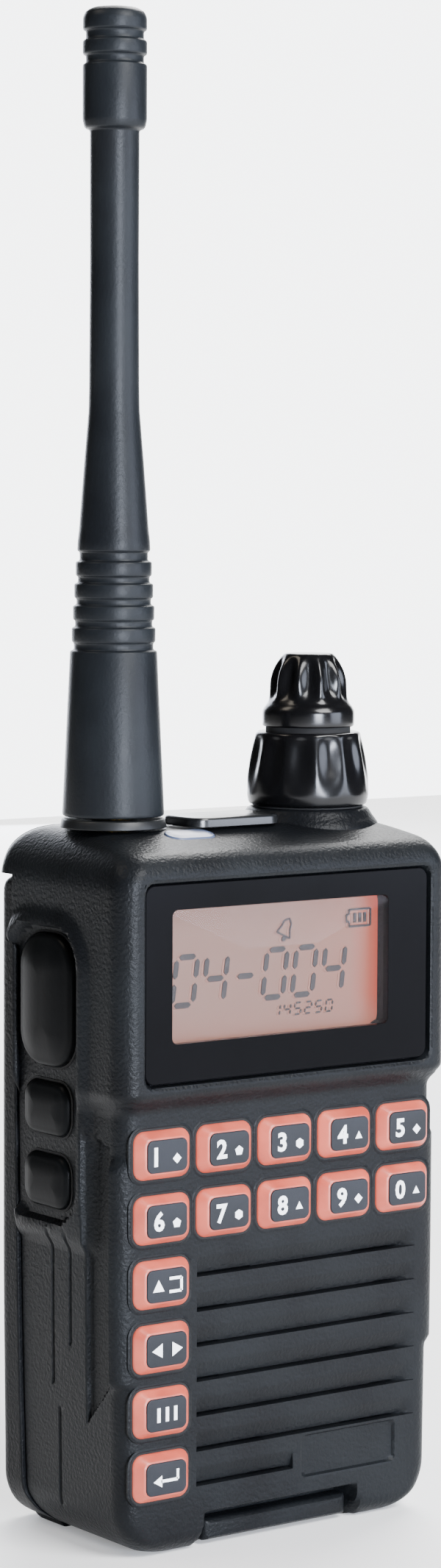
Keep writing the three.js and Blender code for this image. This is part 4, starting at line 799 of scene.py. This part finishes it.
# %% Turned shapes
def softened(profile, radius, rounds=2):
    """A profile whose corners are cut off near each point, by at most radius, and then cut again finer."""
    points = np.asarray(profile, float)
    for k in range(rounds):
        step = np.diff(points, axis=0)
        length = np.maximum(np.hypot(step[:, 0], step[:, 1]), 1e-9)
        reach = (np.minimum(radius / 2**k, length / 3) / length)[:, None]
        inner = np.stack([points[:-1] + step * reach, points[1:] - step * reach], 1)
        inner = inner.reshape(-1, points.shape[1])
        points = np.vstack([points[:1], inner, points[-1:]])
    return points


def turned(profile, x, y, sides=96, flutes=0, power=1.0):
    """Rings round the axis at (x, y): radius r - d * (0.5 - 0.5 cos(flutes * angle))^power at each height z.

    profile holds rows of r, z and, where there are flutes, their depth d.
    """
    p = np.asarray(profile, float)
    angle = np.linspace(0, 2 * np.pi, sides, endpoint=False)[None, :]
    deep = p[:, 2:3] if flutes else np.zeros((len(p), 1))
    r = p[:, 0:1] - deep * (0.5 - 0.5 * np.cos(flutes * angle)) ** power
    return np.stack([x + r * np.cos(angle), y + r * np.sin(angle), p[:, 1:2] + 0 * r], -1)


def axis_of(name):
    """The middle of a CAD node's box, seen from above."""
    low, high = corners(name)
    return (low[0] + high[0]) / 2, (low[1] + high[1]) / 2


STACK_X, STACK_Y = axis_of("control_unit")
ANTENNA_X = axis_of("antenna_collar")[0]

# %% Antenna
whip_foot = corners("antenna_whip")[0][2]
collar_foot, collar_top = (corner[2] for corner in corners("antenna_collar"))
RING_BORE, RIB_FOOT_Z, RIB_PITCH = 3.5, 124.8, 3.03
WHIP_RIBS = ((5.81, 5.34), (5.64, 5.15), (5.47, 4.95), (5.27, 4.72))  # each rib and the groove over it
ring = [
    (RING_BORE, collar_foot), (7.45, collar_foot), (7.4, collar_foot + 0.3),
    (7.12, collar_top), (RING_BORE, collar_top),
]
ring_rings = turned(softened(ring, 0.15), ANTENNA_X, STACK_Y)
# The ring takes the darker recess finish as painted shade: it stands for the dark, shadowed collar at the
# antenna's foot.
skin("antenna_ring", *capped(ring_rings), "radio", "antenna_rubber", RECESS, 40, ["antenna_collar"])
sleeve = [
    (4.9, whip_foot), (6.95, whip_foot), (7.08, whip_foot + 0.3), (6.02, 123.57), (5.5, 123.65), (5.5, 124.65),
]
ribs = [
    (radius, RIB_FOOT_Z + RIB_PITCH * k + rise)
    for k, (rib, groove) in enumerate(WHIP_RIBS)
    for radius, rise in ((rib - 0.02, 0), (rib, 1.95), (groove, 2.03), (groove, 2.95))
]
stem = [
    (4.74, 137.2), (5.06, 137.3), (5.0, 138.6), (4.80, 140.3), (4.45, 145.0), (4.10, 149.6), (3.78, 153.4),
    (3.53, 156.5), (3.45, 160), (3.36, 177.3), (3.40, 194.7), (4.15, 195.0), (4.42, 196.1), (4.42, 203.6),
    (3.97, 203.75), (3.97, 204.8), (4.41, 204.95), (4.41, 206.8), (3.97, 206.95), (3.97, 208.1),
    (4.39, 208.25), (4.39, 209.9), (4.05, 210.7), (3.22, 211.2), (1.6, 211.45), (0.05, 211.48),
]
whip = turned(softened(sleeve + ribs + stem, 0.16), ANTENNA_X, STACK_Y)
skin("antenna_rubber_whip", *capped(whip), "antenna", "antenna_rubber", ANTENNA, 50, ["antenna_whip"])
print("antenna rings:", len(whip))

# %% Knobs and the raised boss under them
# Rows of radius, height and flute depth.
LOWER = [
    (5.2, 100.9, 0), (8.2, 100.9, 0), (8.5, 101.15, 0), (8.72, 102.2, 0), (8.78, 103.2, 0.1),
    (8.76, 104.7, 0.3), (8.55, 106.3, 0.48), (8.3, 107.8, 0.55), (8.0, 109.2, 0.48), (7.74, 110.3, 0.28),
    (7.55, 111.0, 0.08), (7.2, 111.28, 0), (6.0, 111.3, 0), (1.9, 111.3, 0),
]
UPPER = [
    (1.9, 112.05, 0), (6.35, 112.05, 0), (6.6, 112.3, 0), (6.66, 113.6, 0), (6.6, 114.3, 0), (6.3, 114.9, 0),
    (5.85, 115.5, 0.05), (5.6, 116.2, 0.3), (5.52, 117.2, 0.7), (5.44, 118.6, 0.95), (5.15, 119.8, 0.9),
    (4.7, 120.8, 0.6), (4.2, 121.6, 0.25), (3.75, 122.2, 0.05), (3.3, 122.5, 0), (0.05, 122.55, 0),
]


def smooth_profile(rows, steps=7):
    """The same profile with steps points to each stretch, read off cubic curves through its points."""
    rows = np.asarray(rows, float)
    before, after = np.vstack([rows[:1], rows[:-1]]), np.vstack([rows[1:], rows[-1:]])
    slope = (after - before) / 2
    span = np.hypot(*np.diff(rows[:, :2], axis=0).T)[:, None]
    room = np.maximum(np.hypot(*(after - before)[:, :2].T), 1e-6)[:, None] / 2
    t = np.linspace(0, 1, steps, endpoint=False)[None, :, None]
    a, b = rows[:-1, None], rows[1:, None]
    ma = (slope[:-1] * np.minimum(span / room[:-1], 1))[:, None]
    mb = (slope[1:] * np.minimum(span / room[1:], 1))[:, None]
    curve = (2 * t**3 - 3 * t**2 + 1) * a + (t**3 - 2 * t**2 + t) * ma
    curve = curve + (3 * t**2 - 2 * t**3) * b + (t**3 - t**2) * mb
    smooth = np.vstack([curve.reshape(-1, rows.shape[1]), rows[-1:]])
    smooth[:, 2] = np.maximum(smooth[:, 2], 0)
    return smooth


lower = turned(smooth_profile(LOWER), STACK_X, STACK_Y, 168, 12, 0.8)
upper = turned(smooth_profile(UPPER), STACK_X, STACK_Y, 160, 10, 0.8)
skin("channel_knob_gloss", *capped(lower), "channel_dial", "knob_gloss", KNOB, 50, ["channel_knob"])
skin("volume_knob_gloss", *capped(upper), "volume_dial", "knob_gloss", KNOB, 50, ["volume_knob"])
BOSS = [
    (10.6, 96.5), (10.2, 98.1), (9.8, 98.75), (9.45, 99.15), (9.1, 99.7), (8.8, 100.2), (8.5, 100.45),
    (8.1, 100.58), (4.7, 100.6), (4.6, 96.5),
]
skin("knob_boss", *capped(turned(softened(BOSS, 0.3), STACK_X, STACK_Y)), "radio", "case_black", CASE, 60)
# The neck under the lower knob and the collar between the knobs are black rings of painted shade in those
# gaps.
neck = [(7.9, 100.3), (7.9, 100.75), (4.4, 100.75), (4.4, 100.3)]
skin("knob_neck", *capped(turned(neck, STACK_X, STACK_Y)), "radio", "case_black", SHADOW)
collar = [(6.1, 111.0), (6.1, 112.2), (2.0, 112.2), (2.0, 111.0)]
skin("knob_collar", *capped(turned(collar, STACK_X, STACK_Y)), "channel_dial", "knob_gloss", SHADOW)

# %% [markdown]
# ## Top fittings and side buttons
# A glossy rubber flap covers the two jacks. The status lamp is a frosted lens let into the sloping front of
# the top. The push-to-talk button and the two smaller buttons under it are soft rubber pads with a crowned
# face, in the pocket on the left side.

# %% Jack cover and lamp
cover_low, cover_high = corners("jack_cover")
cover_mid, cover_half = (cover_low + cover_high) / 2, (cover_high - cover_low) / 2
cover_rows = eased_rows(cover_half[0], cover_half[1], 2.4, cover_low[2], cover_high[2] + 0.1, 0.45)
cover_place = (cover_mid[0], cover_mid[1], 0)
pad("jack_flap", cover_place, cover_rows, "top", "jack_flap", "button_rubber", JACK_RUBBER, ["jack_cover"])

LAMP_A, LAMP_B, LAMP_SHIFT = 3.9, 1.9, (-0.4, 2.0, 0)
lamp_low, lamp_high = corners("lamp_lens")
lamp_mid = (lamp_low + lamp_high) / 2 + LAMP_SHIFT
lamp_place = (lamp_mid[0], lamp_mid[1], 0)


def on_slope(rings):
    """Rings laid on the sloping top: each point is raised by the slope's height at its own y."""
    laid = rings.copy()
    slope_y = front_of(np.array([arc_z[-1]]))[0]
    laid[..., 2] += arc_z[-1] + (rings[..., 1] - slope_y) * math.tan(SLOPE)
    return laid


lamp_rows = eased_rows(LAMP_A, LAMP_B, 1.88, -1.0, 0.25, 0.3, crown=0.25)
lamp_rings = on_slope(stacked(lamp_place, lamp_rows, "top"))
skin("lamp_frosted", *capped(lamp_rings), "radio", "lamp_clear", LAMP, 50, ["lamp_lens"])
rim_rows = [
    (LAMP_A + 0.05, LAMP_B + 0.05, 1.9, -0.6), (LAMP_A + 0.05, LAMP_B + 0.05, 1.9, 0.02),
    (LAMP_A + 0.25, LAMP_B + 0.25, 2.1, 0.1), (LAMP_A + 1.1, LAMP_B + 0.9, 2.7, -0.05),
    (LAMP_A + 1.1, LAMP_B + 0.9, 2.7, -0.6),
]
many_rings("lamp_rim", [on_slope(stacked(lamp_place, rim_rows, "top"))], "radio", "case_black", CASE)

# %% Side buttons
# Node, body, corner radius, crown, and the shift back and up from the node's own middle.
SIDE_PADS = (
    ("ptt_button", "push_to_talk", 4.9, 0.7, (-1.5, 1.1)),
    ("side_button_upper", "side_upper", 2.6, 0.35, (-2.1, 0.9)),
    ("side_button_lower", "side_lower", 2.6, 0.35, (-2.1, 0.9)),
)
PAD_PLAY_A, PAD_PLAY_B, PAD_FOOT, PAD_PROUD, PAD_EDGE = 0.6, 0.55, 25.6, 0.2, 0.9
SLIT_FOOT, SLIT_TOP = 26.5, HEAD_HALF - 0.98
SIDE_SLIT = [(0.02, SLIT_TOP), (0.35, SLIT_TOP), (0.35, SLIT_FOOT), (0.02, SLIT_FOOT)]  # growth and height
for name, body, r, crown, shift in SIDE_PADS:
    low, high = corners(name)
    middle = (low + high) / 2 + np.array([0, *shift])
    centre = (0, middle[1], middle[2])
    half_a, half_b = (high[1] - low[1]) / 2 - PAD_PLAY_A, (high[2] - low[2]) / 2 - PAD_PLAY_B
    rows = eased_rows(half_a, half_b, r, PAD_FOOT, -low[0] + PAD_PROUD, PAD_EDGE, crown)
    pad(name + "_rubber", centre, rows, "left", body, "button_rubber", BUTTON, [name], 60)
    # A black ring in the slit round each side pad is painted shade of that gap.
    slit = grown(half_a, half_b, [(growth, r + growth, height) for growth, height in SIDE_SLIT])
    many_rings(name + "_slit", [stacked(centre, slit, "left")], "radio", "case_black", SHADOW)

# %% [markdown]
# ## Battery and latch
# The battery is the whole back of the radio: a slab with rounded edges outside, and a block that reaches into
# the case. The slab is made like the case, from level sections, and then turned front to back. Its back has
# two sets of grip ridges and a shallow blank panel. The latch is a sprung lip in the scoop at the foot.

# %% Battery slab, block and latch
SLAB_R, SLAB_TOP_R, RIDGES, RIDGE_PITCH = 2.5, 1.2, ((12, 24), (74, 84)), 2.0
RIDGE_IN, GRIP_A, BLANK_LOW, BLANK_HIGH, BLANK_R = 0.35, 17.0, (-19.0, 29.5), (19.0, 68.5), 2.0
ridge_z = np.concatenate([np.arange(foot, top + 0.1, RIDGE_PITCH) for foot, top in RIDGES])
slab_arc = SLAB_R * (1 - np.cos(arc))
slab_z = lines(
    slab_low[2], slab_high[2], 0.9, slab_low[2] + FOOT_R * (1 - np.cos(arc)),
    slab_low[2] + slab_arc, slab_high[2] - slab_arc,
    *[z + np.array([-0.5, -0.25, 0.0, 0.25, 0.5]) for z in ridge_z], [29.4, 29.8, 68.2, 68.6],
)
up, down = slab_z - slab_low[2], slab_high[2] - slab_z


def rise(distance, r):
    """How far a quarter circle of radius r has drawn back at a distance from its end."""
    return r - np.sqrt(np.maximum(r**2 - np.clip(r - distance, 0, r) ** 2, 0))


slab_width = slab_high[0] - TAPER * (1 - ease(slab_z, *TAPER_Z))
slab_width = slab_width - np.minimum(rise(up, FOOT_R), FOOT_R - 2.7) - rise(down, SLAB_TOP_R)
slab_face = -BACK_Y + np.minimum(rise(up, SLAB_R), 2.3) + np.minimum(rise(down, SLAB_R), 2.3)


def slab_relief(x, y, z, nx, ny):
    """Grip ridges, cosine waves 2 mm apart across two bands, and a blank panel pressed in by 0.35 mm."""
    grip = np.maximum(*[band(z, *limits, 0.5) for limits in RIDGES]) * band(np.abs(x), -1, GRIP_A, 1.0)
    waves = -RIDGE_IN * grip * (0.5 + 0.5 * np.cos(2 * np.pi * z / RIDGE_PITCH))
    panel = -RIDGE_IN * ease(-rounded_box(x, z, BLANK_LOW, BLANK_HIGH, BLANK_R), 0, 0.3)
    return (waves + panel) * (ny < -0.5)


slab_lines = lines(
    -25.0, 25.0, 2.5, [s * v for s in (-1, 1) for v in (16.5, 17.0, 17.5, 18.0, 18.5, 18.7, 19.0, 19.2)],
)
every_row = np.ones(len(slab_z))
slab_rings = section_skin(
    slab_z, slab_width, slab_face, SLAB_R * every_row, -(seam(slab_z) + 0.35), 0.3 * every_row, 0 * every_row,
    slab_lines, lines(-13.4, -4.0, 0.8), slab_relief,
)
slab_rings[..., 1] *= -1
skin("battery_slab", *capped(slab_rings), "battery", "case_black", BATTERY, 32, ["battery_case"])

BLOCK_DEEP = 8.3
block_rows = [
    (18.4, 37.0, 1.0, -3.3), (19.0, 37.35, 1.0, -2.7), (19.0, 37.35, 1.0, 7.9), (18.6, 37.0, 0.8, BLOCK_DEEP),
]
recess_rows = [(17.7, 36.1, 0.6, BLOCK_DEEP), (17.7, 36.1, 0.6, 6.6)]
block_low, block_high = corners("battery_cover")
block_place = (0, block_low[1] + BLOCK_DEEP, (block_low[2] + block_high[2]) / 2)
block = stacked(block_place, block_rows + recess_rows, "front")
skin("battery_block", *capped(block), "battery", "case_black", BATTERY, 32)

LIP_IN, LIP_Z, TRAY_SHORT = 2.05, 2.1, 0.6
latch_low, latch_high = corners("battery_latch")
latch_half, latch_mid = (latch_high - latch_low) / 2, (latch_low + latch_high) / 2
lip_rows = [
    (LIP_A, 1.5, 0.3, -1.5), (LIP_A, 1.5, 0.3, 0.0),
    (LIP_A - 0.3, 1.35, 0.3, 0.5), (LIP_A - 0.9, 1.0, 0.3, 0.85),
]
lip_place = (0, KEY_FACE_Y + LIP_IN, LIP_Z)
pad("latch_lip", lip_place, lip_rows, "front", "latch", "case_black", CASE, ["battery_latch"])
tray = eased_rows(latch_half[0], latch_half[1] - TRAY_SHORT, 0.4, 0.9, 2.2, 0.2)
pad("latch_tray", (0, latch_mid[1] + TRAY_SHORT, 0), tray, "top", "latch", "case_black", CASE)

# %% [markdown]
# ## The parts inside
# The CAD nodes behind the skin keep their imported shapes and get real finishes, because they show when the
# battery swings out or the jack flap lifts.

# %% Finishes of the CAD nodes
INSIDE = (
    (BUTTON, ["keypad_mat"]),
    (DIFFUSER, ["light_guide"]),
    (CLOTH, ["speaker_cloth", "microphone"]),
    (RECESS, ["lcd_frame", "speaker_jack", "microphone_jack", "battery_cover"]),
    (BOARD, ["side_switch_board", "main_board"]),
    (TIN, ["rear_chassis", "radio_shield", "control_unit"]),
    (CELL, ["battery_cell_left", "battery_cell_right"]),
    (STEEL, ["speaker", "volume_shaft", *[f"case_screw_{k}" for k in range(1, 5)]]),
    (BRASS, ["antenna_ferrule", "antenna_socket", "channel_shaft", "control_bush"]),
    (BRASS, ["battery_contact_plus", "battery_contact_minus", "contact_spring_plus", "contact_spring_minus"]),
)
for material, names in INSIDE:
    for name in names:
        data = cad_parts[name].data
        data.materials.clear()
        data.materials.append(material)
print(sum(len(names) for _, names in INSIDE), "inner nodes finished")

# %% [markdown]
# ## Floor and light
# A pale floor and a few soft lamps stand for a small product studio. Glowing planes would do as lamps, but
# area lights are easier to aim and give cleaner shadows. The tent is bright only behind the radio, so that
# the black case stays black, and the floor gives off a little light of its own, as lit paper seems to.

# %% Lamps, tent, floor and the last lines
def area_light(name, place, aim, size, power, tint="#ffffff"):
    """A soft square lamp at place, turned towards aim, in metres."""
    data = bpy.data.lights.new(name, "AREA")
    data.size, data.energy, data.color = size, power, colour(tint)[:3]
    lamp = bpy.data.objects.new(name, data)
    lamp.location = place
    lamp.rotation_mode = "QUATERNION"
    lamp.rotation_quaternion = (Vector(aim) - Vector(place)).to_track_quat("-Z", "Y")
    bpy.context.collection.objects.link(lamp)


area_light("key", (-0.18, -1.0, 0.16), (0, 0, 0.09), 0.3, 24, "#e8f0ff")
area_light("fill", (0.62, -0.82, 0.14), (0, 0, 0.04), 0.55, 12, "#e2ebff")
area_light("top", (0.15, -0.75, 0.75), (0.05, -0.1, 0.03), 0.5, 22)
area_light("left", (-0.5, 0.2, 0.8), (-0.03, 0, 0.09), 0.3, 2, "#fff3e2")
area_light("rear", (0.34, 1.0, 0.3), (0, 0, 0.08), 0.6, 9, "#eef3ff")
area_light("backdrop", (0.85, 0.75, 1.1), (0.6, 0.6, 0), 0.9, 50)

# The studio's light tent is bright behind the radio, and dim elsewhere so that the black case stays black.
world = bpy.data.worlds.new("studio")
world.use_nodes = True
tent = world.node_tree
tent.nodes.clear()
direction = add(tent, "ShaderNodeTexCoord", {}).outputs["Generated"]
TENT_WAY, TENT_EDGE, TENT_LIGHT = (0.59, 0.80, -0.08), (0.84, 0.96), (0.07, 6.0)
facing = add(tent, "ShaderNodeVectorMath", {0: direction, 1: TENT_WAY}, operation="DOT_PRODUCT")
strength = add(tent, "ShaderNodeMapRange", {
    "Value": facing.outputs["Value"], "From Min": TENT_EDGE[0], "From Max": TENT_EDGE[1],
    "To Min": TENT_LIGHT[0], "To Max": TENT_LIGHT[1],
})
sky = add(tent, "ShaderNodeBackground", {"Color": colour("#f6f8fa"), "Strength": strength.outputs["Result"]})
add(tent, "ShaderNodeOutputWorld", {"Surface": sky.outputs["Background"]})
bpy.context.scene.world = world
floor_mesh = bpy.data.meshes.new("floor")
floor_mesh.from_pydata([(-1, -1, 0), (1, -1, 0), (1, 1, 0), (-1, 1, 0)], [], [(0, 1, 2, 3)])
floor_mesh.materials.append(moulded(
    "Pale studio floor", "#e9e9e9", "#efefef", 0.7, patch_mm=400,
    Emission_Color=colour("#ffffff"), Emission_Strength=0.25,
))
floor = bpy.data.objects.new("floor", floor_mesh)
bpy.context.collection.objects.link(floor)
